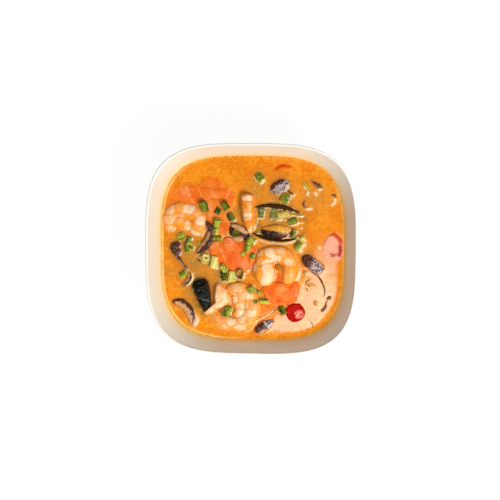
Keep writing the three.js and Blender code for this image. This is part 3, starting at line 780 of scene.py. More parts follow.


# ---- Salmon ----

# Outline, height above and below the soup's surface, how much soup films it, then what is on its
# upper side: lines of fat (points and half width), dark folds, deep red and pink spots. The wide
# fold on the strip is a painted shadow, and the pink spots are partly pale fat and partly painted
# highlights. A flap is another outline that lies on it. It is in this model alone: the solid has
# none.
SALMON = {
    "salmon_middle": {
        "outline": [[-46, 4.5], [-36, 7.5], [-25, 11.5], [-13, 7.5], [-2, 4.5], [4, -2.5],
                    [1, -14.5], [-6, -22.5], [-17, -24.5], [-27, -19.5], [-37, -10.5]],
        "top": 3.2, "bottom": -7, "film": 0.0, "fatty": 0.8,
        "fat": [([[-35.9, 6], [-31, -2], [-26.4, -11.5]], 0.6), ([[-26.4, 14], [-19.7, 6.9]], 1.2),
                ([[-9, 1], [-7, -8], [-10, -15]], 0.35)],
        "folds": [([[-14, 6], [-6, -4], [-3, -14]], 0.5)],
        "deep": [(-20.5, -10, 7.5), (-14, -16, 5)],
        "pink": [(-22.2, 3.5, 5.5), (-8.9, -16.5, 4.5), (-38, 3, 4)],
    },
    "salmon_right": {
        "outline": [[11, -38.5], [19, -33.5], [32, -34.5], [44, -33.5], [46.5, -42.5],
                    [43, -51.5], [33, -56.5], [21, -55.5], [13, -49.5]],
        "top": 3.0, "bottom": -7, "film": 0.1, "fatty": 0.5,
        "fat": [([[25.4, -38], [34.8, -39.2], [36.7, -43.5]], 0.4),
                ([[36.1, -41.7], [32.8, -50.5]], 0.45),
                ([[42.5, -36], [44.4, -41.7], [42.4, -46]], 0.5),
                ([[13.7, -43], [19, -50]], 0.6), ([[24, -42], [28, -47], [34, -48]], 0.35)],
        "folds": [([[31, -35], [35, -38], [38, -37], [41, -33]], 0.5),
                  ([[26, -51], [35, -53.5], [41, -50]], 0.4)],
        "deep": [(17.8, -42.6, 5.5), (26, -51, 4)],
        "pink": [(29.2, -39.8, 3.6), (15, -52, 4)],
    },
    "salmon_strip": {
        "outline": [[-47, 44.5], [-39, 50.5], [-25, 49.5], [-20, 39.5], [-21, 25.5], [-23, 14.5],
                    [-31, 9.5], [-40, 13.5], [-45, 25.5]],
        "top": 1.8, "bottom": -6, "film": 0.3,
        "fat": [([[-43.8, 42.4], [-41, 38.4], [-41, 32]], 0.5), ([[-32, 14], [-26, 10]], 1.0),
                ([[-32.6, 45], [-30, 40.5]], 0.5), ([[-20.7, 40.5], [-22.6, 37.4], [-28, 33]], 0.6),
                ([[-37, 35.6], [-32.6, 32]], 0.5)],
        # This wide fold is a painted shadow.
        "folds": [([[-29, 27], [-27, 21], [-27, 15]], 3)],
        "deep": [(-27, 22, 7)],
        "pink": [(-42, 41, 6), (-41, 32, 5), (-26, 30, 4), (-28, 12, 4)],
    },
    "salmon_back": {
        "outline": [[-87, 50], [-83, 58], [-76, 63.5], [-64, 65], [-50, 63.5], [-38, 62.5],
                    [-24, 62], [-17, 57.5], [-14, 50], [-17, 41.5], [-31, 37.5], [-47, 39.5],
                    [-63, 43.5], [-79, 42.5]],
        "top": 0.9, "bottom": -6, "film": 0.22,
        "fat": [([[-66.4, 60.9], [-62, 52], [-57.2, 42.9]], 0.75),
                ([[-54.7, 61.4], [-48.7, 49.4]], 0.55),
                ([[-40.2, 56.4], [-30.2, 42.4]], 0.7), ([[-21.2, 60.4], [-26.2, 48.4]], 0.7),
                ([[-72, 60], [-68, 54]], 0.3)],
        "folds": [([[-64, 61.6], [-50, 60.4], [-38, 58.6], [-25, 59]], 0.7)],
        "deep": [(-50, 55, 8), (-34, 56, 5), (-19, 56, 6)],
        "pink": [(-37.2, 51.4, 4.5), (-43, 46, 4), (-66, 55, 5)],
        "flap": [[-51, 61], [-50, 66.5], [-46, 70], [-38, 70.5], [-31, 68], [-26, 63], [-27, 59.5],
                 [-38, 60]],
    },
    "salmon_front": {
        "outline": [[2, -54.5], [13, -53.5], [23, -58.5], [26, -64.5], [19, -70.5], [9, -75.5],
                    [2, -66.5]],
        "top": 0.9, "bottom": -6, "film": 0.4,
        "fat": [([[6, -57], [13, -60], [20, -66]], 0.4), ([[8, -68], [14, -64], [22, -60]], 0.5),
                ([[4, -62], [10, -70]], 0.4)],
        "folds": [([[14, -56], [20, -61], [24, -62]], 0.5)],
        "deep": [(18, -58, 3)],
        "pink": [(10, -66, 4), (20, -66, 3.5)],
    },
}


FLAP_LIFT = 0.3  # of the flap's upper side over that of the piece under it


def salmon_slab(outline, row, top):
    shallow = smooth(top, 2.6, 1.0)
    grid, out = cushion(outline, top, row["bottom"], sides=150, rings=70, edge=0.5 + 0.5 * shallow)
    outward = grid - grid.mean(axis=(0, 1))
    flat = grid * (1, 1, 0)
    ragged = 0.06 * bumps(flat, 6, 35) + 0.04 * bumps(flat, 2.5, 36)
    grid = grid + outward * (1, 1, 0) * (ragged * out ** 3)[..., None]
    flat = grid * (1, 1, 0)
    x = grid[..., 0] + 0.7 * bumps(flat, 5, 6) + 0.3 * bumps(flat, 1.8, 41)
    y = grid[..., 1] + 0.7 * bumps(flat, 5, 7) + 0.3 * bumps(flat, 1.8, 42)
    above = smooth(grid[..., 2] - SOUP_LEVEL, 0, top)
    fat, folds = np.zeros(x.shape), np.zeros(x.shape)
    for points, half_width in row["fat"]:
        line = np.exp(-(beside(x, y, points) / half_width) ** 2)
        fat = np.maximum(fat, row.get("fatty", 1) * line)
    for points, half_width in row["folds"]:
        folds = np.maximum(folds, np.exp(-(beside(x, y, points) / half_width) ** 2))
    lift = 0.2 * fat - 0.5 * folds + 0.5 * bumps(flat, 9, 8) + 0.3 * bumps(flat, 4, 43)
    lift += 0.12 * bumps(flat, 1.6, 9)
    grid = grid.copy()
    grid[..., 2] += above * lift * min(1, top / 1.6)
    film = row["film"] * (1 + 0.8 * bumps(flat, 9, 32) + 0.4 * bumps(flat, 4, 44))
    lift = grid[..., 2] - SOUP_LEVEL + 0.4 * bumps(flat, 2.4, 50)
    film = film + np.where(shallow > 0.5, smooth(out, 0.78, 1), 0.7 * smooth(lift, 1.0, 0.2))
    return capped(
        grid, fat=fat, folds=folds, film=np.clip(film, 0, 0.95),
        deep=spots(x, y, row["deep"]), pink=spots(x, y, row["pink"]),
    )


def salmon_shape(row):
    slabs = [salmon_slab(row["outline"], row, row["top"])]
    if "flap" in row:
        slabs.append(salmon_slab(row["flap"], row, row["top"] + FLAP_LIFT))
    return joined(slabs)


def salmon_finish():
    """Cooked salmon: orange flakes with thin pale lines of fat between them."""
    finish = Finish("Salmon", {
        "Roughness": 0.36, "IOR": 1.22, "Subsurface Weight": 0.1, "Subsurface Scale": 0.002,
        "Subsurface Radius": (1.0, 0.4, 0.2),
    })
    fibre = finish.noise(1.2, detail=4, rough=0.6)
    blotch = finish.noise(7, detail=4)
    flesh = finish.mix(finish.ramp(blotch, 0.38, 0.62), rgb(240, 92, 0), rgb(250, 122, 20))
    flesh = finish.dab(flesh, fibre, 0.52, 0.66, 0.7, rgb(255, 152, 72))
    flesh = finish.dab(flesh, fibre, 0.46, 0.34, 0.65, rgb(222, 74, 0))
    deep = finish.times(finish.carried("deep"), finish.ramp(fibre, 0.3, 0.7, 0.95, 0.6))
    flesh = finish.mix(deep, flesh, rgb(236, 80, 0))
    # Pink spots: partly pale fat and partly painted highlights.
    speckled = finish.times(finish.carried("pink"), finish.ramp(fibre, 0.38, 0.6, 0.2, 0.9))
    flesh = finish.mix(speckled, flesh, rgb(254, 164, 104))
    grain = finish.noise(0.8, detail=2)
    flesh = finish.dab(flesh, grain, 0.55, 0.66, 0.4, rgb(255, 170, 100))
    flesh = finish.dab(flesh, grain, 0.45, 0.34, 0.45, rgb(208, 62, 0))
    broken = finish.ramp(finish.noise(4, detail=3), 0.36, 0.6, 0.3, 0.9)
    fat = finish.times(finish.carried("fat"), broken)
    colour = finish.mix(fat, flesh, rgb(255, 184, 120))
    # Folds darken to brown; the wide one on the strip is a painted shadow.
    colour = finish.mix(finish.times(finish.carried("folds"), 0.55), colour, rgb(206, 84, 6))
    colour = finish.mix(finish.carried("film"), colour, grainy(finish, creamy(finish)))
    finish.set("Base Color", colour)
    finish.set("Roughness", finish.ramp(fibre, 0.3, 0.7, 0.26, 0.46))
    finish.set("Normal", finish.bump(fibre, 0.1))
    return finish.material


def make_salmon():
    finish = salmon_finish()
    for name, row in SALMON.items():
        awash = row["top"] < 1
        made(name.title(), salmon_shape(row), finish, "salmon", name, tint=rgb(246, 118, 24),
             halo=0.4, foam=None if awash else 0.25)


# ---- Mussels ----

VALVE_MIDDLE = (23.5, 25.5)
VALVE_HALF = (31.5, 18.5, 13)  # length, width and depth of the shell
VALVE_TURN = -7
VALVE_WALL = 1.5
VALVE_LIP = 3.4  # how far in the dark band inside the rim slopes
VALVE_LIP_START = 0.86  # share of the way from the lowest point to the rim
VALVE_LIP_SWAY = 0.3  # how much the band's width differs
VALVE_LIP_WIDEST = math.radians(66)
VALVE_RIM_LIFT = 2.4
VALVE_AWASH = 25.3


def valve_shape():
    """The open half shell: from its lowest point up the outside, over the rim and down inside."""
    around = full_turn(180)
    share = np.linspace(0, 1, 61)[:, None]

    def hull(inset, drop=0.0, lip=0.0):
        length, width, depth = (half - inset for half in VALVE_HALF)
        top = np.full(around.shape, np.pi / 2)
        for _ in range(12):
            x = length * np.sin(top) * np.cos(around)
            rim = VALVE_RIM_LIFT * (1 - (x / VALVE_AWASH) ** 2) - drop
            top = np.pi / 2 + np.arcsin(np.clip(rim / depth, -0.9, 0.9))
        down = share * top
        band = 1 + VALVE_LIP_SWAY * np.cos(2 * (around - VALVE_LIP_WIDEST))
        narrowed = lip * band * smooth(share, 1, VALVE_LIP_START)
        length, width = length - narrowed, width - narrowed
        return np.stack([
            length * np.sin(down) * np.cos(around),
            width * np.sin(down) * np.sin(around),
            -depth * np.cos(down),
        ], -1)

    outer = hull(0)
    inner = hull(VALVE_WALL, 0.1, VALVE_LIP)[::-1]
    rows = len(outer)
    growth = np.concatenate([share, share[::-1]])[:, 0]
    grid = np.concatenate([outer, inner])
    normal = normals_of(grid)
    rings = 0.14 * np.sin(growth * 95) * (growth > 0.3)
    inside = np.concatenate([np.zeros(rows), np.ones(rows)])
    grid = grid + normal * (rings * (1 - inside))[:, None, None]
    x, y = turned(grid[..., 0], grid[..., 1], -VALVE_TURN)
    placed = np.stack([
        x + VALVE_MIDDLE[0], y + VALVE_MIDDLE[1], grid[..., 2] + SOUP_LEVEL,
    ], -1)
    wide = np.ones_like(x)
    reddish = smooth(x, 2, 26) * (grid[..., 1] > 0)
    return capped(placed, growth=growth[:, None] * wide, inside=inside[:, None] * wide,
                  mark=0 * wide, flank=0.8 * reddish)


def shell_finish(name, dark, brown, pale, inside):
    """Mussel shell: black outside with brown growth lines, nacre inside with a dark edge."""
    finish = Finish(name, {"Roughness": 0.3, "IOR": 1.22})
    speck = finish.noise(1.5, detail=4, rough=0.7)
    growth = finish.carried("growth")
    rings = finish.noise(0.04, detail=3, place=finish.node(
        "ShaderNodeCombineXYZ", ("X", finish.times(growth, 0.012)),
    ).outputs["Vector"])
    outside = finish.mix(finish.ramp(rings, 0.4, 0.7), dark, brown)
    outside = finish.dab(outside, speck, 0.58, 0.65, 0.85, pale)
    outside = finish.mix(finish.carried("mark"), outside, rgb(128, 118, 108))
    nacre = finish.mix(finish.noise(7, detail=2), inside, rgb(150, 134, 86))
    nacre = finish.mix(finish.ramp(growth, 0.8, 0.88), nacre, finish.mix(speck, dark, brown))
    colour = finish.mix(finish.carried("inside"), outside, nacre)
    finish.set("Base Color", finish.mix(finish.carried("flank"), colour, rgb(96, 40, 10)))
    finish.set("Roughness", finish.ramp(speck, 0.35, 0.7, 0.25, 0.5))
    finish.set("Normal", finish.bump(speck, 0.25, finish.bump(rings, 0.1)))
    return finish.material


MUSSEL_MEAT = [
    [8.5, 18.6, -0.5, 3, 2.5],
    [16, 16.8, 0, 6, 4],
    [25, 16.6, 0.2, 7.2, 4.4],
    [33, 17, 0, 6, 3.6],
    [39.5, 18.6, -0.5, 2, 2],
]
CLOSED_MIDDLE = (-51.2, -48.2)
CLOSED_TURN = -70
CLOSED_MUSSEL = [
    [-61, -30], [-54, -27.6], [-46.6, -30.4], [-42.6, -42], [-41.6, -54], [-44.6, -64],
    [-47.4, -68.4], [-52.6, -64], [-58.6, -53], [-62.6, -40],
]


def meat_shape():
    grid, t, turn = lofted(MUSSEL_MEAT, sides=80, stations=160)
    normal = normals_of(grid)
    folds = np.sin(t * 34 + 3 * bumps(grid, 5, 11)) * smooth(np.sin(turn * 2 * np.pi), -0.2, 0.6)
    relief = 0.08 * folds + 0.3 * bumps(grid, 4, 12)
    grid = grid + normal * (relief * smooth(np.minimum(t, 1 - t), 0, 0.06))[..., None]
    return capped(grid, across=np.cos(turn * 2 * np.pi), along=t)


def meat_finish():
    """Mussel meat: a tan lip along the back, dark purple and red-brown towards the front, with pale
    painted highlights on the dark part.
    """
    finish = Finish("Mussel_meat", {
        "Roughness": 0.28, "IOR": 1.34, "Subsurface Weight": 0.1, "Subsurface Scale": 0.0015,
    })
    fibre = finish.noise(2.6, detail=3)
    across = finish.carried("across")
    across = finish.math("ADD", across, finish.math("MULTIPLY_ADD", fibre, 0.7, -0.35))
    tan = finish.mix(finish.ramp(fibre, 0.35, 0.65), rgb(236, 150, 34), rgb(252, 192, 92))
    along = finish.ramp(finish.carried("along"), 0.45, 0.75)
    dark = finish.mix(along, rgb(44, 18, 16), rgb(110, 44, 10))
    # Painted highlights: pale mauve patches on the dark part.
    dark = finish.dab(dark, finish.noise(2.4), 0.58, 0.72, 0.6, rgb(150, 116, 110))
    starts = finish.ramp(finish.carried("along"), 0.2, 0.8, -0.45, 0.1)
    across = finish.math("SUBTRACT", across, starts)
    colour = finish.mix(finish.ramp(across, -0.1, 0.3), tan, dark)
    finish.set("Base Color", wetted(finish, colour, 0.8, 0.5))
    finish.set("Roughness", finish.ramp(fibre, 0.3, 0.7, 0.18, 0.4))
    finish.set("Normal", finish.bump(finish.noise(1.2), 0.04))
    return finish.material


def closed_mussel_shape():
    """A shut mussel that lies rolled over: its left side and its back end are under the soup."""
    grid, _ = cushion(CLOSED_MUSSEL, 5, -7, sides=140, rings=90, edge=0.8)
    x, y = grid[..., 0] - CLOSED_MIDDLE[0], grid[..., 1] - CLOSED_MIDDLE[1]
    along, across = turned(x, y, CLOSED_TURN)
    growth = np.hypot((along + 14) / 34, across / 12)
    above = smooth(grid[..., 2] - SOUP_LEVEL, -1, 1)
    under = 6.4 * smooth(across - 0.12 * along, -0.5, -7) + 4.6 * smooth(along, -9, -19)
    ridge = 0.12 * np.sin(growth * 40 + 1.5 * bumps(grid, 8, 13)) * above
    normal = normals_of(grid)
    lumps = 0.4 * bumps(grid, 2, 14) + 0.2 * bumps(grid, 1, 53)
    grid = grid + normal * (ridge + lumps * above)[..., None]
    grid[..., 2] -= under * above
    slope = 0.8 * (along - 2.4 - 0.75 * across) + 0.4 * bumps(grid, 3, 45)
    mark = 0.75 * np.exp(-(slope / 0.35) ** 2)
    flank = 0.45 * smooth(across + 1.4 * bumps(grid, 3, 46), 8, 9.6)
    return capped(grid, growth=growth, inside=np.zeros_like(growth), mark=mark, flank=flank)


def make_mussels():
    olive = shell_finish(
        "Mussel_shell", rgb(24, 14, 0), rgb(84, 50, 4), rgb(112, 96, 50), rgb(150, 122, 62),
    )
    black = shell_finish(
        "Mussel_shell_black", rgb(1, 2, 1), rgb(14, 10, 6), rgb(112, 112, 98), rgb(60, 60, 50),
    )
    made("Mussel_valve", valve_shape(), olive, "mussel_shell", "mussel_valve",
         tint=rgb(124, 106, 40), halo=0.6, foam=1.0)
    made("Mussel_closed", closed_mussel_shape(), black, "mussel_shell", "mussel_closed",
         tint=rgb(44, 46, 34), halo=1.0, foam=None)
    made("Mussel_meat", meat_shape(), meat_finish(), "mussel_meat", "mussel_meat",
         tint=rgb(176, 104, 34), halo=0.5, foam=None)


# ---- Mushrooms ----

# Each piece is cushions and sweeps. A sweep's last two numbers say how far round it the skin goes,
# from -1, none, to 1, all, and the share of its length, from its start, that is skin all round.
# Then the rules for flesh on a cushion and for a painted highlight: grey-white patches painted on
# the side of the skin that faces the light. Each says where it starts along a direction: (degrees,
# offset in mm, softness in mm).
NOWHERE = (0, 40, 2)  # starts beyond the end of any piece
MUSHROOMS = {
    "mushroom_1": (
        [("cushion", oval(27, 61.5, 10, 6, 22), 3, -3.5, 0.7)],
        (-60, 11, 3), (-58, -1.5, 3.5),
    ),
    "mushroom_2": (
        [("sweep", [
            [-45, 26, 4, 2, 2],
            [-40.5, 18.5, 3, 3.4, 3],
            [-42, 9.5, 1.5, 4.2, 3.5],
            [-47.5, 1.5, 0.8, 4.2, 3.2],
            [-55.5, -5.5, 0, 1.3, 1.5],
        ], 0.25, 0.3)],
        None, NOWHERE,
    ),
    "mushroom_3": (
        [("cushion", [[-82, 0.5], [-80, 4.6], [-75.6, 6.6], [-72, 4.4], [-73, 0], [-71.4, -4.5],
                      [-75, -10.6], [-78.6, -7], [-80.6, -3.4]], 1.8, -3.5, 0.7),
         ("sweep", [
             [-75, -7.5, 0.1, 1.3, 1.4],
             [-72.6, -12, 0.3, 1.5, 1.4],
             [-69.6, -16, 0.1, 0.9, 1],
             [-64.9, -22.5, 0, 1.0, 1.2],
         ], 0.3, 0.2)],
        (-150, 9, 3), (-100, 7, 3),
    ),
    "mushroom_4": (
        [("sweep", [
            [-62.5, -25, 0, 1.4, 1.5],
            [-63.5, -32, 0.2, 2.4, 2],
            [-70.5, -39, 0, 1.2, 1.3],
        ], 0, 0)],
        (-10, 0.5, 1.5), NOWHERE,
    ),
    "mushroom_5": (
        [("sweep", [
            [-80.5, -54.5, 0, 1.8, 2],
            [-73, -55, 0.4, 4, 3],
            [-66, -59.5, 0.4, 4.6, 3.2],
            [-62, -67.5, 0.4, 4, 3],
            [-60.5, -78.5, 0, 1.4, 1.6],
        ], -0.4, 0.1)],
        None, NOWHERE,
    ),
    "mushroom_6": (
        [("cushion", [[-23, 20.5], [-19, 25], [-12, 23], [-4, 17.5], [-3, 11.5], [-9, 7],
                      [-16, 9.5], [-22, 13.5]], 1.8, -3, 0.6),
         ("sweep", [
             [-21, 23.6, 1.6, 1.6, 1.4],
             [-15, 21.4, 2.2, 2.5, 1.8],
             [-9, 18, 2.2, 2.5, 1.8],
             [-4.5, 14.6, 1.6, 1.4, 1.3],
         ], -2, 0),
         ("sweep", [
             [-18.5, 11.6, 1.4, 1.8, 1.6],
             [-14, 9.6, 2, 3.2, 2],
             [-8.5, 9.2, 1.4, 2, 1.6],
         ], -2, 0)],
        NOWHERE, NOWHERE,
    ),
    "mushroom_7": (
        [("cushion", [[49, -12], [50.5, -7], [56, -5.5], [64, -11], [70.5, -17], [70, -22.5],
                      [64.5, -25], [56, -19.5]], 2.6, -4, 0.65)],
        (-75, 12, 3), (-20, -1, 5),
    ),
    "mushroom_8": (
        [("cushion", oval(11.5, -78, 10.5, 5, 32), 2.6, -3.5, 0.65)],
        (-62, 3.3, 1.4), (20, 1, 5),
    ),
}
FOAMED_MUSHROOMS = ("mushroom_1", "mushroom_6")


def mushroom_shape(parts, flesh_rule, shine_rule):
    bodies = []
    for kind, outline, *sizes in parts:
        if kind == "cushion":
            top, bottom, edge = sizes
            grid, _ = cushion(outline, top, bottom, sides=96, rings=60, edge=edge)
            shown = None
            ends = np.ones(grid.shape[:2])
        else:
            grid, t, turn = lofted(outline, sides=48, stations=120)
            skin_to, skin_end = sizes
            side = np.cos(turn * 2 * np.pi) + 0.3 * bumps(grid, 2.6, 15)
            shown = smooth(side, skin_to - 0.15, skin_to + 0.3)
            shown = shown * smooth(t, skin_end - 0.06, skin_end + 0.06)
            ends = smooth(np.minimum(t, 1 - t), 0, 0.08)
        middle = np.array(outline, float)[:, :2].mean(0)
        x, y = grid[..., 0] - middle[0], grid[..., 1] - middle[1]

        def along(rule):
            degrees, start, soft = rule
            forward, _ = turned(x, y, degrees)
            forward = forward + 1.5 * bumps(grid, 3.5, 16)
            return smooth(forward, start - soft / 2, start + soft / 2)

        flesh = along(flesh_rule) if shown is None else shown
        shine = along(shine_rule)
        relief = 0.5 * bumps(grid, 3.6, 17) + 0.3 * bumps(grid, 1.7, 18)
        grid = grid + normals_of(grid) * (relief * ends)[..., None]
        bodies.append(capped(grid, flesh=flesh, shine=shine))
    return joined(bodies)


def mushroom_finish():
    """Cooked shiitake: wet dark purple-brown skin and tan flesh, with painted grey-white highlights
    on the skin.
    """
    finish = Finish("Mushroom", {"Roughness": 0.3, "IOR": 1.34})
    fine = finish.noise(0.9, detail=4, rough=0.65)
    blotch = finish.noise(3.2, detail=3)
    skin = finish.mix(finish.ramp(blotch, 0.35, 0.65), rgb(40, 14, 4), rgb(96, 46, 26))
    skin = finish.dab(skin, fine, 0.52, 0.62, 0.65, rgb(150, 98, 78))
    skin = finish.dab(skin, fine, 0.48, 0.38, 0.7, rgb(22, 6, 0))
    flesh = finish.mix(blotch, rgb(190, 128, 74), rgb(226, 172, 122))
    flesh = finish.dab(flesh, fine, 0.52, 0.64, 0.55, rgb(240, 196, 148))
    flesh = finish.dab(flesh, fine, 0.46, 0.36, 0.55, rgb(144, 84, 34))
    colour = finish.mix(finish.carried("flesh"), skin, flesh)
    # Painted highlight: grey-white patches on the skin's side towards the light.
    patches = finish.ramp(finish.noise(2.2, detail=4, rough=0.65), 0.45, 0.52)
    shine = finish.times(finish.carried("shine"), patches)
    colour = finish.mix(finish.times(shine, 0.9), colour, rgb(208, 184, 182))
    finish.set("Base Color", wetted(finish, colour, 0.7, 0.6))
    finish.set("Roughness", finish.ramp(blotch, 0.3, 0.7, 0.18, 0.4))
    finish.set("Normal", finish.bump(fine, 0.15))
    return finish.material


def make_mushrooms():
    finish = mushroom_finish()
    for name, row in MUSHROOMS.items():
        foam = 0.7 if name in FOAMED_MUSHROOMS else 0.0
        made(name.title(), mushroom_shape(*row), finish, "mushroom", name,
             tint=rgb(96, 64, 34), halo=0.6, foam=foam)


# ---- Tomato and chilli ----

TOMATO_HALF = {"x": 43.2, "y": -63.8, "lift": 1.6, "radius": 9.6, "depth": 7.5, "tilt": 6}
SEEDS_MIDDLE = (3.6, -1.6)  # of the patch of jelly and seeds, from the middle of the cut face
SEEDS_HALF = (4.2, 4)
TOMATO_WEDGE = [
    [68, -2.5], [72, 7.5], [79, 15.5], [88, 15], [90, 2.5], [88, -8.5], [81, -14], [72, -12],
]
WEDGE_MIDDLE = (79, 3)
WEDGE_FLESH_HALF = (10.2, 12.4)  # beyond this oval the rind shows
WEDGE_ARC = [[73.6, 14.2], [78, 15], [81.6, 14.2], [85.4, 11], [87.6, 7]]
# Red marks on the wedge: points, half width and strength.
WEDGE_MARKS = [
    ([[87, 3], [87.2, -2], [86.2, -6.2]], 2.1, 1.0),
    ([[76.8, -4.4], [81, -5.4], [86.3, -5.8]], 0.8, 0.85), ([[79.2, -6.8], [81, -6.4]], 1.2, 0.95),
]
CHILLI = [
    [22.4, 76.8, -0.2, 0.7, 0.8], [26.5, 80, 0.1, 1.5, 0.9], [31.5, 81.5, 0.1, 1.5, 0.9],
    [39.8, 80.2, -0.1, 0.9, 0.8],
]


def tomato_half_shape():
    """A half with its cut face up: the face from its middle out, and the skin round below it."""
    radius, depth = TOMATO_HALF["radius"], TOMATO_HALF["depth"]
    turn = full_turn(120)
    face_rows, skin_rows = 40, 29
    face = np.linspace(0, 1, face_rows)
    down = np.linspace(0, np.pi / 2, skin_rows + 1)[1:]
    out = np.concatenate([face, np.cos(down)])
    sink = np.concatenate([np.zeros(face_rows), np.sin(down)])
    wide = 1 + 0.03 * np.sin(turn * 3 + 1) + 0.14 * np.exp(-((turn - 1.2) / 0.2) ** 2)
    wide += 0.01 * np.sin(turn * 7 + 2) + 0.01 * np.sin(turn * 13)
    x = out[:, None] * np.cos(turn) * radius * wide
    y = out[:, None] * np.sin(turn) * radius * wide * 0.95
    edge = 0.7 * smooth(out, 0.88, 1.0) * (sink == 0)
    z = -sink[:, None] * depth - edge[:, None] * np.ones_like(turn)
    on_face = np.concatenate([np.ones(face_rows), np.zeros(skin_rows)])[:, None]
    on_face = on_face * np.ones_like(turn)
    flat = np.stack([x, y, 0 * z], -1)
    right, back = (x - SEEDS_MIDDLE[0]) / SEEDS_HALF[0], (y - SEEDS_MIDDLE[1]) / SEEDS_HALF[1]
    patch = np.hypot(right, back) + 0.25 * bumps(flat, 2.2, 57)
    seeds = smooth(patch, 1.25, 0.8) * on_face
    lumps = 0.5 * bumps(flat, 1.5, 19) + 0.3 * bumps(flat, 3, 20)
    relief = seeds * (lumps - 0.35) + 0.12 * bumps(flat, 2, 21)
    z = z + on_face * relief * smooth(out, 1, 0.9)[:, None]
    across, high = turned(x, z, TOMATO_HALF["tilt"])
    grid = np.stack([
        across + TOMATO_HALF["x"], y + TOMATO_HALF["y"], high + TOMATO_HALF["lift"] + SOUP_LEVEL,
    ], -1)
    ring = smooth(out, 0.8, 0.95)[:, None] * np.ones_like(turn)
    return capped(grid, seeds=seeds, ring=ring, pink=0 * x, rind=0 * x)


def tomato_wedge_shape():
    grid, _ = cushion(TOMATO_WEDGE, 1.4, -7, sides=140, rings=70)
    x, y = grid[..., 0], grid[..., 1]
    flat = grid * (1, 1, 0)
    wavy = x + 0.5 * bumps(flat, 2.4, 37), y + 0.5 * bumps(flat, 2.4, 47)
    ring = np.zeros(x.shape)
    for points, half_width, strength in WEDGE_MARKS:
        ring = np.maximum(ring, strength * np.exp(-(beside(*wavy, points) / half_width) ** 2))
    above = smooth(grid[..., 2] - SOUP_LEVEL, 0, 1)
    relief = 0.2 * bumps(flat, 5, 22) + 0.15 * bumps(flat, 2, 23)
    slump = -0.7 * smooth(y + 0.6 * (x - 78), 3, -9) - 0.4 * (1 - ring)
    slump -= 2.6 * smooth(x + y, 97.5, 101.5)
    grid = grid.copy()
    grid[..., 2] += (relief + slump) * above
    right = (wavy[0] - WEDGE_MIDDLE[0]) / WEDGE_FLESH_HALF[0]
    back = (wavy[1] - WEDGE_MIDDLE[1]) / WEDGE_FLESH_HALF[1]
    beyond = smooth(np.hypot(right, back), 0.94, 1.06)
    rind = 0.95 * np.maximum(
        smooth(beside(*wavy, WEDGE_ARC), 3.0, 1.0), beyond * smooth(wavy[1], 5.5, 8)
    )
    return capped(grid, seeds=0 * x, ring=ring, pink=1 - ring, rind=rind)


def tomato_finish():
    """Ripe tomato: glossy red skin, darker red flesh, pinkish jelly with pale seeds."""
    finish = Finish("Tomato", {
        "Roughness": 0.34, "IOR": 1.2, "Subsurface Weight": 0.08, "Subsurface Scale": 0.0015,
    })
    fine = finish.noise(1.1, detail=3)
    red = finish.mix(finish.ramp(fine, 0.4, 0.6), rgb(150, 0, 0), rgb(206, 16, 0))
    ring = finish.mix(finish.ramp(fine, 0.4, 0.6), rgb(140, 2, 0), rgb(188, 16, 2))
    colour = finish.mix(finish.carried("ring"), red, ring)
    seed = finish.ramp(finish.noise(1.3, detail=2, warp=1.2), 0.44, 0.56)
    jelly = finish.mix(seed, rgb(220, 40, 26), rgb(255, 168, 150))
    colour = finish.mix(finish.carried("seeds"), colour, jelly)
    veined = finish.mix(finish.noise(5, detail=3), rgb(244, 156, 124), rgb(250, 184, 156))
    veined = finish.dab(veined, fine, 0.56, 0.68, 0.5, rgb(222, 110, 80))
    colour = finish.mix(finish.carried("pink"), colour, veined)
    rind = finish.carried("rind")
    colour = finish.mix(rind, colour, finish.mix(fine, rgb(198, 54, 2), rgb(222, 84, 14)))
    finish.set("Base Color", wetted(finish, colour, 0.4, 0.3))
    glints = finish.ramp(finish.noise(1.8, detail=2), 0.58, 0.68, 0.12, 1.0)
    finish.set("Specular IOR Level", glints)
    finish.set("Normal", finish.bump(fine, 0.12))
    return finish.material


def chilli_finish():
    finish = Finish("Chilli", {"Roughness": 0.35, "IOR": 1.2})
    fine = finish.noise(1.4, detail=3)
    colour = finish.mix(fine, rgb(190, 36, 0), rgb(222, 84, 14))
    finish.set("Base Color", wetted(finish, colour, 0.9, 0.65))
    finish.set("Normal", finish.bump(fine, 0.08))
    return finish.material


def make_tomato_and_chilli():
    finish = tomato_finish()
    made("Tomato_half", tomato_half_shape(), finish, "tomato", "tomato_half", tint=rgb(226, 84, 50),
         halo=0.4, foam=None)
    made("Tomato_wedge", tomato_wedge_shape(), finish, "tomato", "tomato_wedge",
         tint=rgb(246, 146, 104), halo=0.5, foam=None)
    grid, t, _ = lofted(CHILLI, sides=36, stations=80)
    grid = grid + normals_of(grid) * (0.12 * bumps(grid, 1.6, 24) * np.sin(np.pi * t))[..., None]
    made("Chilli_sliver", capped(grid), chilli_finish(), "chilli", "chilli_sliver",
         tint=rgb(224, 92, 14), halo=1.0, foam=None)


# ---- Spring onions ----

DARK, GREEN, LIME, PALE, MISTY, FADED = "dark", "green", "lime", "pale", "misty", "faded"
ONION_WALL = {DARK: 1.1, GREEN: 1.1, LIME: 1.3, PALE: 1.8, MISTY: 1.1, FADED: 1.2}
ONION_FLATNESS = 0.76
ONION_TOSS = 16  # degrees that the slices differ in their rise
ONION_SLANT = 0.15
TUBE_ROWS = 10  # of points along a slice's outside, and along its inside
CUT_ROWS = 3  # across each cut end
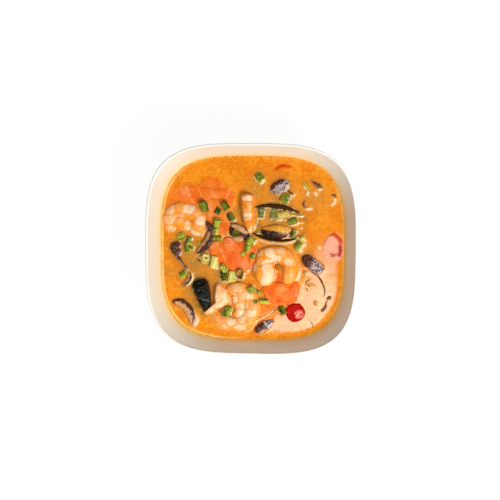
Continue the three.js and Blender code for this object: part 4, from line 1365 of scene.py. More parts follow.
# The two greens that alternate along the fibres, and that of the cut ends and the inside.
ONION_COLOURS = {
    DARK: (rgb(36, 46, 0), rgb(108, 116, 14), rgb(166, 166, 62)),
    GREEN: (rgb(88, 98, 2), rgb(164, 168, 36), rgb(208, 204, 92)),
    LIME: (rgb(132, 134, 6), rgb(196, 188, 50), rgb(222, 212, 104)),
    PALE: (rgb(196, 182, 60), rgb(240, 220, 116), rgb(246, 230, 156)),
    MISTY: (rgb(92, 98, 34), rgb(148, 144, 80), rgb(180, 174, 106)),
    FADED: (rgb(150, 122, 26), rgb(208, 174, 74), rgb(240, 214, 138)),
}

# x, y, lift, length, width, direction of the tube's axis and its rise, both in degrees.
ONION_SLICES = [
    [7.5, 70, 0.8, 9, 8, -50, 10, GREEN],
    [32.5, 49.5, 0.8, 9, 8, 60, 10, GREEN],
    [-47.8, 41.3, 3, 11, 7.2, 104, 14, DARK],
    [-26.5, 42, 3.4, 8.5, 7, -57, 0, DARK],
    [-33.5, 37, 2, 6.6, 6, 60, 20, DARK],
    [-21, 30.8, 2.8, 8.6, 5.8, -55, 10, DARK],
    [-34.6, 25, 3.4, 8.4, 6.8, 70, 30, GREEN],
    [-36, 16.5, 3.6, 6.6, 6, 96, 10, LIME],
    [-34.4, 9.7, 3.6, 11, 4.2, -4, 0, LIME],
    [-71, 11.5, 0.2, 7, 7, 30, 20, GREEN],
    [-63, 7.5, 0.8, 7, 5, 70, 0, DARK],
    [-63.5, 0, 0.6, 9, 9, 50, 35, GREEN],
    [-16.5, 15.5, 3.6, 6.5, 6, 60, 50, DARK],
    [-1, 7, 5, 8, 7, 60, 0, GREEN],
    [-4, 0, 5, 7, 6, 70, 0, GREEN],
    [0.5, -7.5, 3.4, 6, 5, 80, 0, GREEN],
    [-47, -10.5, 1.4, 8, 8.5, 40, 40, PALE],
    [-38, -14, 2.8, 12, 7.5, 80, 0, PALE],
    [-28, -19.5, 3.4, 7, 6, -50, 0, LIME],
    [-28, -27, 1.6, 11, 6, -75, 0, DARK],
    [-20, -28, 2.8, 10.5, 7.5, 85, 0, PALE],
    [-12, -25.5, 2.8, 6, 10, 0, 75, DARK],
    [-69, -26.5, 0.4, 8, 6, 30, 0, GREEN],
    [-0.5, -41, 5.4, 7.5, 6.5, 25, 0, LIME],
    [3, -53.5, 3.6, 5, 4.5, 90, 0, DARK],
    [12, -53, 2.6, 9, 5, 0, 0, LIME],
    [-25, -63.5, 3.2, 10.5, 8, 65, 0, GREEN],
    [30, -61.5, 1, 8, 6.5, -60, 0, DARK],
    [40, 27.5, 0.9, 9, 6, 20, 0, DARK],
    [41, 15, 0.9, 8, 5, 80, 0, DARK],
    [9, 35.5, 0.2, 9.5, 6.5, 85, 0, MISTY],
    [21.5, 34.5, 0.2, 10.5, 7, 85, 0, MISTY],
    [31, 34, 0.1, 11, 7.5, 15, 0, FADED],
    [46, 3, 1.2, 8.5, 7, 60, 0, GREEN],
    [49.5, 10, 1.2, 5, 4.5, 30, 0, PALE],
]


def tube(length, width, wall, slant, seed):
    """A slice of leaf or stem along Y, with ribs along it and rounded cut ends."""
    turn = full_turn(44)
    half, outer = length / 2, width / 2
    inner = max(outer - wall, outer * 0.3)
    soft = min(0.35, wall * 0.3)
    run = np.linspace(-half + soft, half - soft, TUBE_ROWS)
    radius = np.concatenate([
        [inner + soft, (inner + outer) / 2, outer - soft], np.full(TUBE_ROWS, outer),
        [outer - soft, (inner + outer) / 2, inner + soft], np.full(TUBE_ROWS, inner),
    ])
    along = np.concatenate([[-half] * CUT_ROWS, run, [half] * CUT_ROWS, run[::-1]])
    inside = np.repeat([0.0, 1.0], [2 * CUT_ROWS + TUBE_ROWS, TUBE_ROWS])
    cut = np.repeat([1.0, 0.0, 1.0, 0.0], [CUT_ROWS, TUBE_ROWS] * 2)
    ribs = 1 + 0.025 * np.cos(turn * 9 + seed) + 0.05 * np.cos(turn * 2 + seed * 2.3)
    across = radius[:, None] * np.cos(turn) * ribs
    high = radius[:, None] * np.sin(turn) * ribs * ONION_FLATNESS
    length_way = along[:, None] + across * slant
    grid = np.stack([across, length_way, high], -1)
    flat = np.ones_like(turn)
    return grid, inside[:, None] * flat, cut[:, None] * flat, turn[None, :] + 0 * across


def onion_shape(number, row):
    x, y, lift, length, width, azimuth, rise, kind = row
    slant = ONION_SLANT * math.sin(x + y)
    layers = [(width, ONION_WALL[kind], length)]
    if kind in (LIME, PALE):
        layers = [(width, 1.1, length), (width - 2.8, 1.0, length - 0.5)]
    bodies = []
    for wide, wall, long in layers:
        grid, inside, cut, turn = tube(long, wide, wall, slant, number)
        dents = 0.5 * bumps(grid + number * 7, 2.6, 25) + 0.3 * bumps(grid + number * 5, 1.1, 48)
        grid = grid + dents[..., None] * (1, 0.6, 1)
        toss = ONION_TOSS * math.sin(number * 2.3)
        run, high = turned(grid[..., 1], grid[..., 2], -(rise + toss))
        across, run = turned(grid[..., 0], run, 90 - azimuth)
        placed = np.stack([across + x, run + y, high + SOUP_LEVEL + lift], -1)
        bodies.append(looped(
            placed, inside=inside, cut=cut,
            rib=np.sin(turn * 1.5 + number * 1.7) * 0.5 + 0.5, around=turn / (2 * np.pi) * 30,
            own=np.full(turn.shape, float(number)),
        ))
    return joined(bodies)


def onion_finish(kind):
    """Spring onion: fibres of two greens along it, a paler cut, and pale painted glints."""
    deep, light, cut_green = ONION_COLOURS[kind]
    finish = Finish(f"Spring_onion_{kind}", {"Roughness": 0.3, "IOR": 1.3})
    fibre_place = finish.node(
        "ShaderNodeCombineXYZ", ("X", finish.carried("around")), ("Y", finish.carried("own")),
    ).outputs["Vector"]
    fibre = finish.node(
        "ShaderNodeTexNoise", ("Vector", fibre_place), ("Scale", 0.6), ("Detail", 3.0),
    ).outputs["Fac"]
    blotch = finish.noise(3, detail=3)
    share = finish.math("MULTIPLY_ADD", finish.carried("rib"), 0.7, finish.times(fibre, 0.5))
    share = finish.math("ADD", share, finish.math("MULTIPLY_ADD", blotch, 0.7, -0.45))
    colour = finish.mix(finish.ramp(share, 0.3, 0.75), deep, light)
    # Painted glints: small pale spots scattered over the green.
    painted_glint = finish.ramp(finish.noise(1.1, detail=2), 0.53, 0.63, 0, 0.8)
    colour = finish.mix(painted_glint, colour, cut_green)
    pale = finish.math("MAXIMUM", finish.carried("inside"), finish.carried("cut"))
    colour = finish.mix(finish.times(pale, 0.8), colour, cut_green)
    finish.set("Base Color", wetted(finish, colour, 0.6, 0.55))
    finish.set("Roughness", finish.ramp(blotch, 0.3, 0.7, 0.16, 0.36))
    finish.set("Normal", finish.bump(fibre, 0.1))
    return finish.material


def make_spring_onions():
    finishes = {kind: onion_finish(kind) for kind in ONION_COLOURS}
    tints = {
        DARK: rgb(92, 112, 30), GREEN: rgb(128, 146, 40), LIME: rgb(176, 178, 60),
        PALE: rgb(216, 200, 96), MISTY: rgb(150, 140, 70), FADED: rgb(206, 170, 76),
    }
    for i, row in enumerate(ONION_SLICES):
        kind = row[-1]
        number = f"{i + 1:02d}"
        made(f"Spring_onion_{number}", onion_shape(i + 1, row), finishes[kind], "spring_onion",
             f"spring_onion_{number}", tint=tints[kind], halo=0.3, foam=0.9)


# ---- Small bits, for which the bowl's model has no solids ----

# Their names say sunk, but each breaks the soup's surface a little, and front_line, meat_edge and
# the last three leaves lie on other pieces. Each is a curve of
# [x, y, lift, half width, half height].
SUNK_SKIN = {
    "hook": [[34.5, 59, 0, 0.7, 0.7], [37.2, 55.6, 0.2, 1.1, 0.8], [41, 54.2, 0, 0.6, 0.6]],
    "streak": [
        [57, 68.5, -0.6, 0.9, 0.8], [61.5, 65, -0.2, 1.9, 1], [66, 62, -0.1, 2, 1],
        [69.5, 59.5, -0.6, 1, 0.8],
    ],
    "arc": [[77.5, 52.5, 0, 0.5, 0.6], [80.6, 53.6, 0.2, 1, 0.8], [82.4, 50.6, 0, 0.7, 0.6]],
    "bend": [
        [53, 47.5, 0, 0.5, 0.5], [50.9, 46, 0.2, 0.8, 0.7], [51, 42.5, 0.1, 0.8, 0.7],
        [53.5, 39.8, 0, 0.5, 0.5],
    ],
    "long_arc": [
        [62.6, -24.6, 0, 0.4, 0.5], [66.6, -28.6, 0.2, 0.9, 0.7], [70.4, -36, 0.2, 0.7, 0.7],
        [72.2, -42.4, 0.1, 0.7, 0.6], [70.6, -48, -0.1, 0.4, 0.5],
    ],
    "curl_line": [[58, -24.4, 0, 0.4, 0.4], [61, -23.6, 0.2, 0.6, 0.5], [62.6, -27.4, 0, 0.4, 0.4]],
    "grey_upper": [
        [77.8, -46.6, 0, 0.8, 0.6], [76.4, -48.4, 0.3, 1.9, 0.8], [73.8, -50.4, 0, 0.9, 0.6],
    ],
    "grey_line": [[75, -51, -0.1, 0.4, 0.5], [73, -54, 0.1, 0.7, 0.6], [72.4, -57, -0.1, 0.4, 0.5]],
    "grey_lower": [
        [74, -55.4, 0, 0.7, 0.6], [71.4, -59.4, 0.3, 1.7, 0.8], [68.4, -62.6, 0, 1, 0.6],
    ],
    "shard": [
        [-55, -11.4, -0.2, 0.6, 0.6], [-52.4, -13, 0.2, 1.3, 0.8], [-50.2, -14, -0.2, 0.6, 0.6],
    ],
    "thin_line": [
        [56.2, -69.8, 0, 0.3, 0.4], [59.6, -74.5, 0.1, 0.45, 0.5], [60.6, -79, 0, 0.3, 0.4],
    ],
    "dot": [[54.2, -79.8, 0, 0.4, 0.4], [55.4, -79.9, 0.1, 0.6, 0.5], [56.6, -80, 0, 0.4, 0.4]],
    "crescent": [
        [-53, 53, -0.5, 0.4, 0.4], [-54, 54, -0.4, 0.5, 0.4], [-55, 54.6, -0.5, 0.4, 0.4],
    ],
}
# Pale slivers. Some are pale flesh; hook_edge, streak_edge_1, streak_edge_2, bend_edge, curl and
# leaf_edge are painted highlights, pale bits along the lower right of dark bits.
SUNK_PALE_AND_HIGHLIGHTS = {
    "mushroom_edge": [
        [-58.6, -66.5, 0, 0.8, 0.8], [-55.6, -70.5, 0.3, 1.8, 1], [-56.4, -75.5, 0.3, 1.9, 1],
        [-59, -80.4, 0, 0.7, 0.7],
    ],
    "strip_edge": [
        [-60.6, -24.5, 0.1, 0.8, 0.8], [-59.6, -30, 0.3, 1.1, 0.9], [-62.6, -35.5, 0.3, 1.2, 0.9],
        [-66.5, -38.6, 0, 0.6, 0.6],
    ],
    "hook_edge": [[37, 53.4, 0.1, 0.7, 0.6], [40.4, 52.2, 0.3, 1, 0.7], [43, 54.6, 0.1, 0.6, 0.6]],
    "streak_edge_1": [[64, 57.4, 0, 0.6, 0.6], [66.2, 58.8, 0.2, 1.5, 0.7], [69, 58, 0, 0.8, 0.6]],
    "streak_edge_2": [
        [60.4, 54, 0, 0.7, 0.6], [62.2, 55.6, 0.2, 1.3, 0.7], [63.4, 51.8, 0, 0.9, 0.6],
    ],
    "arc_edge": [
        [79.4, 50, 0, 0.7, 0.6], [81.6, 48.6, 0.2, 1.5, 0.8], [80, 45, 0.1, 1.3, 0.7],
        [76.5, 42.4, 0, 0.5, 0.5],
    ],
    "bend_edge": [[51.8, 38.8, 0.1, 0.8, 0.7], [56, 39.8, 0.3, 1.4, 0.8], [60, 38.6, 0, 0.6, 0.6]],
    "curl": [
        [52.6, -27.6, 0, 0.7, 0.6], [53.6, -24.6, 0.3, 1.2, 0.8], [56.6, -24, 0.3, 1.3, 0.8],
        [58.8, -26.4, 0, 0.8, 0.6],
    ],
    "leaf_edge": [
        [53.6, 58.4, 0, 0.4, 0.5], [54.9, 55.6, 0.3, 1.2, 0.7], [53.6, 51.6, 0, 0.7, 0.5],
    ],
    "leaf_vein": [[50.2, 62.8, 0, 0.3, 0.4], [51.6, 60.2, 0.2, 0.5, 0.5], [53.2, 58, 0, 0.3, 0.4]],
    "front_line": [
        [24.5, -56.6, 0.4, 0.3, 0.5], [18.4, -64.2, 1.2, 0.6, 0.6], [10.3, -69, 1.3, 0.7, 0.6],
        [2.4, -73.4, 0.8, 0.6, 0.6], [-3.4, -78.4, 0, 0.3, 0.5],
    ],
    "bit_1": [[50.6, 5.4, 0, 0.8, 0.6], [52, 4, 0.2, 1.6, 0.7], [53.6, 2.8, 0, 0.8, 0.6]],
    "bit_2": [[65.6, 3, -0.3, 0.8, 0.6], [66.6, 1, 0, 1.6, 0.7], [67.6, -1, -0.3, 0.8, 0.6]],
    "meat_edge": [
        [27.7, 8.3, 0.6, 0.4, 0.5], [33.9, 11.8, 1.2, 0.6, 0.6], [37.3, 15.4, 1.2, 0.6, 0.6],
        [37.9, 18.5, 0.6, 0.4, 0.5],
    ],
    "bit_3": [[48, -1.6, 0, 0.5, 0.5], [49, -2.6, 0.2, 1.1, 0.6], [50, -3.6, 0, 0.5, 0.5]],
    "bit_4": [[47.6, 20.6, 0, 0.5, 0.5], [48.8, 20.4, 0.2, 1, 0.6], [50, 20, 0, 0.5, 0.5]],
}
SUNK_TAN = {
    "patch": [[51.4, -21, 0, 1.2, 0.6], [51.8, -25, 0.3, 2.1, 0.8], [51.6, -29.6, 0, 0.9, 0.6]],
    "ruffle_1": [
        [52.4, -37, 0, 0.8, 0.6], [54.4, -34, 0.3, 1.6, 0.8], [56.6, -31, 0.3, 1.2, 0.8],
        [58.2, -29.6, 0, 0.6, 0.6],
    ],
    "ruffle_2": [
        [54, -36, 0, 0.7, 0.7], [57, -36.4, 0.3, 1.6, 0.8], [60.4, -35.6, 0.2, 1.2, 0.8],
        [63.6, -37.4, 0, 0.6, 0.6],
    ],
    "ruffle_3": [[53, -38.6, 0, 0.6, 0.6], [54.2, -40.4, 0.2, 0.9, 0.7], [55.4, -43, 0, 0.5, 0.5]],
    "blob": [[63.6, -50.6, 0, 0.9, 0.6], [62.8, -54, 0.3, 1.9, 0.8], [65, -57.2, 0, 1, 0.6]],
    "salmon_edge": [
        [3, -71.5, 0.1, 0.6, 0.6], [14, -68, 0.4, 1, 0.8], [24, -62, 0.4, 1, 0.8],
        [33, -53.5, 0.2, 0.7, 0.7],
    ],
}
SUNK_LEAF = {
    "back_1": [[50.6, 66, -0.6, 0.8, 0.6], [52.6, 61.4, -0.3, 2, 0.7], [53.6, 57, -0.6, 0.9, 0.6]],
    "back_2": [
        [55, 61.4, -0.5, 0.5, 0.5], [56, 58.6, -0.3, 0.9, 0.6], [56.2, 55.6, -0.5, 0.5, 0.5],
    ],
    "left": [[-55, 6.4, 0.2, 0.8, 0.6], [-53, 4.4, 0.5, 1.5, 0.9], [-51.4, 1.6, 0.2, 0.7, 0.6]],
    "middle_1": [[-8.6, 4, 2.6, 0.8, 0.8], [-6.8, 1.4, 3, 1.6, 1.2], [-7.4, -1.6, 2.6, 0.8, 0.8]],
    "middle_2": [
        [-11.5, -4.5, 3.2, 1.5, 0.8], [-9, -5.6, 3.6, 2.4, 1.2], [-6.6, -6.4, 3.2, 1.3, 0.8],
    ],
    "front": [[5, -45, 3.2, 1.2, 0.8], [7, -43.8, 3.6, 2, 1.2], [9, -43.6, 3.2, 1.2, 0.8]],
}
SUNK_AMBER = {
    "disc": [[24.2, -15.2, 0.1, 1.6, 0.8], [25.6, -18.2, 0.5, 3.4, 1], [27, -21.8, 0, 1.4, 0.8]],
}


def sliver_finish(name, one, other, film):
    finish = Finish(name, {"Roughness": 0.4, "IOR": 1.25})
    fine = finish.noise(1.3, detail=4)
    colour = finish.mix(finish.ramp(fine, 0.35, 0.65), one, other)
    finish.set("Base Color", wetted(finish, colour, film, 0.6))
    finish.set("Normal", finish.bump(fine, 0.12))
    return finish.material


def make_sunk():
    groups = (
        ("Skin", SUNK_SKIN, rgb(78, 40, 18), rgb(146, 96, 66), rgb(138, 88, 48), "mushroom"),
        # Pale slivers, partly painted highlights.
        ("Pale", SUNK_PALE_AND_HIGHLIGHTS, rgb(246, 190, 132), rgb(255, 220, 176), rgb(250, 190, 120), "mushroom"),
        ("Tan", SUNK_TAN, rgb(186, 118, 44), rgb(228, 164, 84), rgb(226, 150, 64), "salmon"),
        ("Leaf", SUNK_LEAF, rgb(130, 132, 18), rgb(198, 188, 76), rgb(158, 142, 36),
         "spring_onion"),
        ("Amber", SUNK_AMBER, rgb(150, 86, 4), rgb(196, 118, 20), rgb(184, 104, 20), "mushroom"),
    )
    for kind, rows, one, other, tint, slot in groups:
        bodies = []
        for spine in rows.values():
            grid, t, _ = lofted(spine, sides=20, stations=48, blunt=0.25)
            torn = 0.4 * bumps(grid, 1.8, 26) + 0.3 * bumps(grid, 0.9, 49)
            torn = (torn * np.sin(np.pi * t))[..., None]
            bodies.append(capped(grid + normals_of(grid) * torn))
        made(f"Sunk_{kind}", joined(bodies), sliver_finish(f"Sunk_{kind}", one, other, 0.5), slot,
             tint=tint, halo=0.5, foam=None)


# ---- The soup ----

SOUP_CELLS = 300  # along each side of its surface
WALL_RISE = 1.6  # how far the soup climbs the bowl's wall
WALL_REACH = 2.8  # the distance in which it does so
WALL_GRIP = 0.8  # the same for its steepest part
PIECE_RISE = 0.7
PIECE_REACH = 0.65
LOOK_AROUND = 9  # cells searched for a piece that the soup climbs
CLIMBED_FROM = 0.15  # lift from which a piece stands out of the soup
UNDER_PIECE = -0.5  # lift of the soup's surface under a piece
BLUR = 2.2  # how far the colours of what is in the soup spread
HALO_DEPTH = 2.5  # how deep a piece may lie and still colour the soup round it
VEIL_DEPTH = 0.9  # the same for the soup right over it
VEIL_MOST = 0.9
EDGE_BITE = 0.15  # how far the surface, then the side, runs into the wall
SIDE_BITE = 0.1
NOTHING_THERE = -20.0  # lift that stands for no piece
RAY_START = 40  # above the soup
# Patches on the soup. The ochre, olive, amber and ember ones are darker where the cream is thin and
# the broth or what is under it shows; the two peach ones by the tomato wedge are painted glare, a
# painted reflection of the light. For each: the colour, then the middle, size and strength.
OCHRE, OLIVE, AMBER = rgb(184, 130, 58), rgb(146, 118, 50), rgb(184, 104, 6)
EMBER, PEACH = rgb(220, 80, 4), rgb(252, 172, 112)
SOUP_PATCHES_AND_GLARE = [
    (OCHRE, -58, -16, 17, 0.8), (OCHRE, -50, -34, 15, 0.7), (OCHRE, -62, -44, 8, 0.7),
    (OCHRE, -40, 2, 14, 0.8), (OCHRE, -14, 36, 12, 0.6), (OCHRE, -18, 14, 12, 0.8),
    (OCHRE, 28, 50, 20, 0.55), (OCHRE, 58, 50, 17, 0.5), (OCHRE, 24, 28, 18, 0.8),
    (OCHRE, 4, 58, 12, 0.5), (OCHRE, -34, -26, 12, 0.7), (OCHRE, 54, -4, 8, 0.4),
    (OCHRE, -66, -2, 16, 0.6), (OCHRE, -40, -40, 14, 0.5),
    (OLIVE, -58, -50, 6, 0.85), (OLIVE, -54, -58, 5, 0.85), (OLIVE, -48, -65, 4.5, 0.8),
    (OLIVE, -74, 1, 10, 0.7), (OLIVE, 5, 23, 8, 1.0), (AMBER, 26, -17.5, 5, 1.0),
    # Painted glare: the peach patch at the end of this line and the one on the next.
    (OLIVE, 51.5, 63, 5, 0.6), (OCHRE, 64, 53, 10, 0.7), (PEACH, 69, -8, 9, 0.8),
    (PEACH, 64, -20, 8, 0.5),
    (OLIVE, -62, -30, 6, 0.5), (OLIVE, 27, 61, 13, 0.5), (OLIVE, -50, -13, 8, 0.5),
    (OCHRE, -85, -22, 10, 0.45), (OLIVE, -58, -27, 5, 0.8), (OLIVE, -63, -38, 4, 0.7),
    (OLIVE, -60.5, -47, 4, 0.7),
    (EMBER, 27, -28, 4, 0.9), (EMBER, 27, -33, 4, 0.9),
]

# Lines of foam on the soup: points, half width and strength.
FOAM_LINES = [
    ([[0, 16.2], [3.1, 20], [5, 25.4], [5.4, 30], [9.3, 29.3]], 0.55, 0.8),
    ([[12, 33.1], [11.6, 38.5], [17.7, 41.2], [20.4, 40.6], [27.7, 39.7]], 0.5, 0.8),
    ([[17.9, 40], [18.1, 31]], 0.4, 0.6),
    ([[24.6, 28.5], [33.9, 27.7], [37, 30], [40, 32.7], [44.6, 31.2], [50.8, 32]], 0.7, 0.9),
    ([[38.5, 24.7], [44.6, 23.1], [46.2, 25.4], [50, 25.4]], 0.6, 0.8),
    ([[6.2, 8.6], [16.2, 5.2], [27.7, 4], [38.5, 5.8], [46.2, 10.8]], 1.1, 0.45),
    ([[-62, -31], [-58.5, -36], [-60, -44]], 0.5, 0.3),
    ([[10, 44], [15, 47], [22, 47.5]], 0.4, 0.3),
    ([[-57, -9], [-53, -6.6], [-50.4, -3.4]], 0.4, 0.5),
    ([[-33, -31], [-28, -33.6], [-22, -35.4]], 0.4, 0.5),
]


# A painted highlight: a pale line on the soup close to the wall, where its edge climbs it.
HIGHLIGHT_FROM_WALL = 1.9
HIGHLIGHT_WIDTH = 0.7


def seen_pieces(surface):
    """For each point of the surface: the height, colour, halo, climb and foam of what is there."""
    bodies = [shape for shape, *_ in floating]
    points, faces = joined_mesh(bodies)
    owner = [index for index, body in enumerate(bodies) for _ in body.faces]
    tree = BVHTree.FromPolygons(points.tolist(), faces)
    flat = surface.reshape(-1, 3)
    lift = np.full(len(flat), NOTHING_THERE)
    tint = np.zeros((len(flat), 3))
    halo = np.zeros(len(flat))
    climbed = np.zeros(len(flat), bool)
    foam = np.zeros(len(flat))
    down = Vector((0, 0, -1))
    for i, (x, y, _) in enumerate(flat.tolist()):
        place, _, face, _ = tree.ray_cast(Vector((x, y, SOUP_LEVEL + RAY_START)), down)
        if face is None:
            continue
        lift[i] = place.z - SOUP_LEVEL
        tint[i], halo[i], foamed = floating[owner[face]][1:]
        climbed[i] = foamed is not None
        foam[i] = foamed or 0
    rows = surface.shape[:2]
    return [field.reshape(rows + field.shape[1:]) for field in (lift, tint, halo, climbed, foam)]


def shifted(values, i, j):
    return np.roll(np.roll(values, i, axis=0), j, axis=1)


def foam_lines(x, y, flat):
    x, y = x + 0.5 * bumps(flat, 2.2, 54), y + 0.5 * bumps(flat, 2.2, 55)
    share = np.zeros(x.shape)
    for points, half_width, strength in FOAM_LINES:
        line = smooth(beside(x, y, points), 1.6 * half_width, 0.5 * half_width)
        share = np.maximum(share, strength * line)
    return share * smooth(bumps(flat, 3, 56), -0.7, -0.1)


def painted_meniscus_highlight(from_wall, flat):
    """How strongly the painted highlight shows: a ragged pale line near the wall, along the left
    and right.
    """
    wavy = from_wall + 0.4 * bumps(flat, 7, 61)
    line = np.exp(-((wavy - HIGHLIGHT_FROM_WALL) / HIGHLIGHT_WIDTH) ** 2)
    x, y = flat[..., 0], flat[..., 1]
    there = np.maximum(smooth(x + 0.35 * y, -30, -75), 0.5 * smooth(x, 76, 85))
    return line * there * (0.65 + 0.35 * smooth(bumps(flat, 9, 62), -0.4, 0.4))


def soup_surface():
    even = np.linspace(-1, 1, SOUP_CELLS + 1)
    u, v = np.meshgrid(even, even, indexing="ij")
    ring = np.maximum(np.abs(u), np.abs(v))
    reach = wall_at(SOUP_LEVEL + WALL_RISE) + EDGE_BITE
    surface = square_turned(reach * ring, SOUP_LEVEL, np.arctan2(v, u))
    from_wall = (1 - ring) * reach
    lift, tint, halo, climbed, foam = seen_pieces(surface)
    cell = 2 * reach / SOUP_CELLS

    near = np.full(lift.shape, 99.0)
    foamed = np.zeros(lift.shape)
    within = np.full(lift.shape, 99.0)
    weight = np.zeros(lift.shape)
    blurred = np.zeros(tint.shape)
    total = 0
    shows = np.clip(1 + lift / HALO_DEPTH, 0, 1) * halo
    for i in range(-LOOK_AROUND, LOOK_AROUND + 1):
        for j in range(-LOOK_AROUND, LOOK_AROUND + 1):
            away = math.hypot(i, j) * cell
            above = shifted((lift > CLIMBED_FROM) & climbed, i, j)
            foamed = np.where(above & (away < near), shifted(foam, i, j), foamed)
            near = np.minimum(near, np.where(above, away, 99))
            within = np.minimum(within, np.where(above, 99, away))
            share = math.exp(-(away / BLUR) ** 2)
            total += share
            moved = shifted(shows, i, j) * share
            weight += moved
            blurred += shifted(tint, i, j) * moved[..., None]
    around = np.clip(1.7 * weight / total, 0, 1)
    blurred /= np.maximum(weight, 1e-6)[..., None]

    rise = PIECE_RISE * np.exp(-near / PIECE_REACH)
    rise = np.where(within > 1.5 * cell, UNDER_PIECE, rise)
    climb = 0.5 * np.exp(-from_wall / WALL_REACH) + 0.5 * np.exp(-from_wall / WALL_GRIP)
    rise = np.maximum(rise, WALL_RISE * climb)
    flat = surface * (1, 1, 0)
    surface[..., 2] += rise + 0.035 * bumps(flat, 17, 30) + 0.02 * bumps(flat, 7, 31)

    stain = np.zeros(lift.shape)
    stain_colour = np.zeros(tint.shape) + OCHRE
    for colour, x, y, size, strength in SOUP_PATCHES_AND_GLARE:
        away = np.hypot(surface[..., 0] - x, surface[..., 1] - y) / size
        share = strength * np.exp(-away ** 2) * (1 + 0.35 * bumps(flat, 8, 33))
        more = np.clip(share - stain, 0, 1) / np.maximum(share, 1e-6)
        stain_colour = stain_colour * (1 - more[..., None]) + np.array(colour) * more[..., None]
        stain = np.maximum(stain, share)
    depth = surface[..., 2] - SOUP_LEVEL - lift
    sunk = VEIL_MOST * np.exp(-np.clip(depth, 0, -NOTHING_THERE) / VEIL_DEPTH)
    sunk = sunk * smooth(from_wall, 0, 0.5)
    veil = np.maximum(sunk, around * 0.85)
    share = (sunk / np.maximum(veil, 1e-6))[..., None]
    colour = tint * share + blurred * (1 - share)
    return surface, {
        "tint": np.concatenate([colour, np.ones((*veil.shape, 1))], -1),
        "veil": veil,
        # Near each piece that stands out of the soup the patch colour is laid on more: painted
        # contact shade.
        "stain": np.clip(stain + 0.3 * np.exp(-near / 3.0), 0, 0.95),
        "stain_colour": np.concatenate([stain_colour, np.ones((*veil.shape, 1))], -1),
        "edge": np.exp(-from_wall / 2.0),
        "tide": painted_meniscus_highlight(from_wall, flat),
        "rimmed": smooth(near, 1.5, 0.6) * foamed,
        "foam": foam_lines(surface[..., 0], surface[..., 1], flat),
    }


def soup_shape():
    """The soup as one body: its surface, its side along the bowl's inside, and its bottom."""
    surface, values = soup_surface()
    side = SOUP_CELLS + 1
    number = np.arange(side * side).reshape(side, side)
    quads = np.stack([number[:-1, :-1], number[1:, :-1], number[1:, 1:], number[:-1, 1:]], -1)
    border = np.concatenate([
        number[:-1, 0], number[-1, :-1], number[:0:-1, -1], number[0, :0:-1],
    ])
    top = surface.reshape(-1, 3)
    angle = np.arctan2(top[border, 1], top[border, 0])
    heights = np.linspace(SOUP_LEVEL, FLOOR_TOP + 0.2, 6)
    rings = [square_turned(wall_at(height) + SIDE_BITE, height, angle) for height in heights]
    below = np.concatenate(rings + [np.array([[0, 0, FLOOR_TOP + 0.1]])])
    faces = quads.reshape(-1, 4).tolist()
    count = len(border)
    upper = border
    start = len(top)
    for level in range(len(heights)):
        lower = start + level * count + np.arange(count)
        faces += np.stack([lower, np.roll(lower, -1), np.roll(upper, -1), upper], -1).tolist()
        upper = lower
    middle = start + len(heights) * count
    faces += [(int(a), int(b), middle) for a, b in zip(np.roll(upper, -1), upper)]
    for name, value in values.items():
        flat = value.reshape(-1, *value.shape[2:])
        values[name] = np.concatenate([flat, np.zeros((len(below), *flat.shape[1:]))])
    return Shape(np.concatenate([top, below]), faces, values)


def soup_finish():
    """Creamy broth with fine oil and spice in it, and what shows through its surface."""
    finish = Finish("Soup", {"Roughness": 0.08, "IOR": 1.46})
    fine = finish.noise(1.3, detail=3, rough=0.6)
    clouds = finish.noise(4, detail=4, rough=0.6)
    colour = creamy(finish)
    # Patch colours on the soup, among them painted glare and painted contact shade.
    stain = finish.times(finish.carried("stain"), finish.ramp(clouds, 0.3, 0.65, 0.75, 1.15))
    colour = finish.mix(stain, colour, finish.carried("stain_colour", "Color"))
    flecks = finish.ramp(finish.cells(2.8), 0.1, 0.24, 0.65, 0)
    flecks = finish.times(flecks, finish.carried("stain"))
    colour = finish.mix(flecks, colour, rgb(252, 200, 124))
    colour = grainy(finish, colour)
    veil = finish.times(finish.carried("veil"), finish.ramp(fine, 0.2, 0.8, 0.85, 1.15))
    colour = finish.mix(veil, colour, finish.carried("tint", "Color"))
    spice = finish.ramp(finish.cells(4.2), 0.05, 0.12, 0.8, 0)
    colour = finish.mix(spice, colour, rgb(168, 66, 10))
    oil = finish.ramp(finish.cells(9, jitter=0.9), 0.06, 0.1, 0.35, 0)
    colour = finish.mix(oil, colour, rgb(232, 84, 12))
    edge = finish.carried("edge")
    colour = finish.dab(colour, edge, 0.3, 0.9, 0.7, rgb(250, 186, 82))
    grit = finish.times(finish.ramp(edge, 0.12, 0.3), finish.ramp(fine, 0.56, 0.64))
    colour = finish.mix(finish.times(grit, 0.45), colour, rgb(150, 92, 20))
    speckled = finish.times(finish.ramp(edge, 0.5, 0.66), finish.ramp(fine, 0.48, 0.6, 0, 0.8))
    colour = finish.mix(speckled, colour, rgb(176, 116, 40))
    # Painted highlight: a pale line on the soup close to the wall.
    colour = finish.mix(finish.carried("tide"), colour, rgb(255, 214, 132))
    foam = finish.ramp(finish.noise(4.5, detail=3), 0.5, 0.62, 0, 0.85)
    foam = finish.times(foam, finish.carried("rimmed"))
    foam = finish.math("MAXIMUM", foam, finish.carried("foam"))
    colour = finish.mix(foam, colour, rgb(254, 216, 160))
    finish.set("Base Color", colour)
    finish.set("Roughness", finish.ramp(edge, 0.2, 0.7, 0.08, 0.5))
    finish.set("Specular IOR Level", finish.ramp(edge, 0.08, 0.4, 0.5, 0.05))
    return finish.material


# ---- Stage: floor, lights, camera ----

CAMERA_LEAN = (0.097, 0.11)  # of the line of sight, for each unit of height
CAMERA_HEIGHT = 1190  # above the rim
RIM_PIXEL = 0.976  # millimetres of the rim's plane to one pixel
RIM_CENTRE_PIXEL = (250.5, 250.3)
FRAME_PIXELS = 500
SENSOR = 36

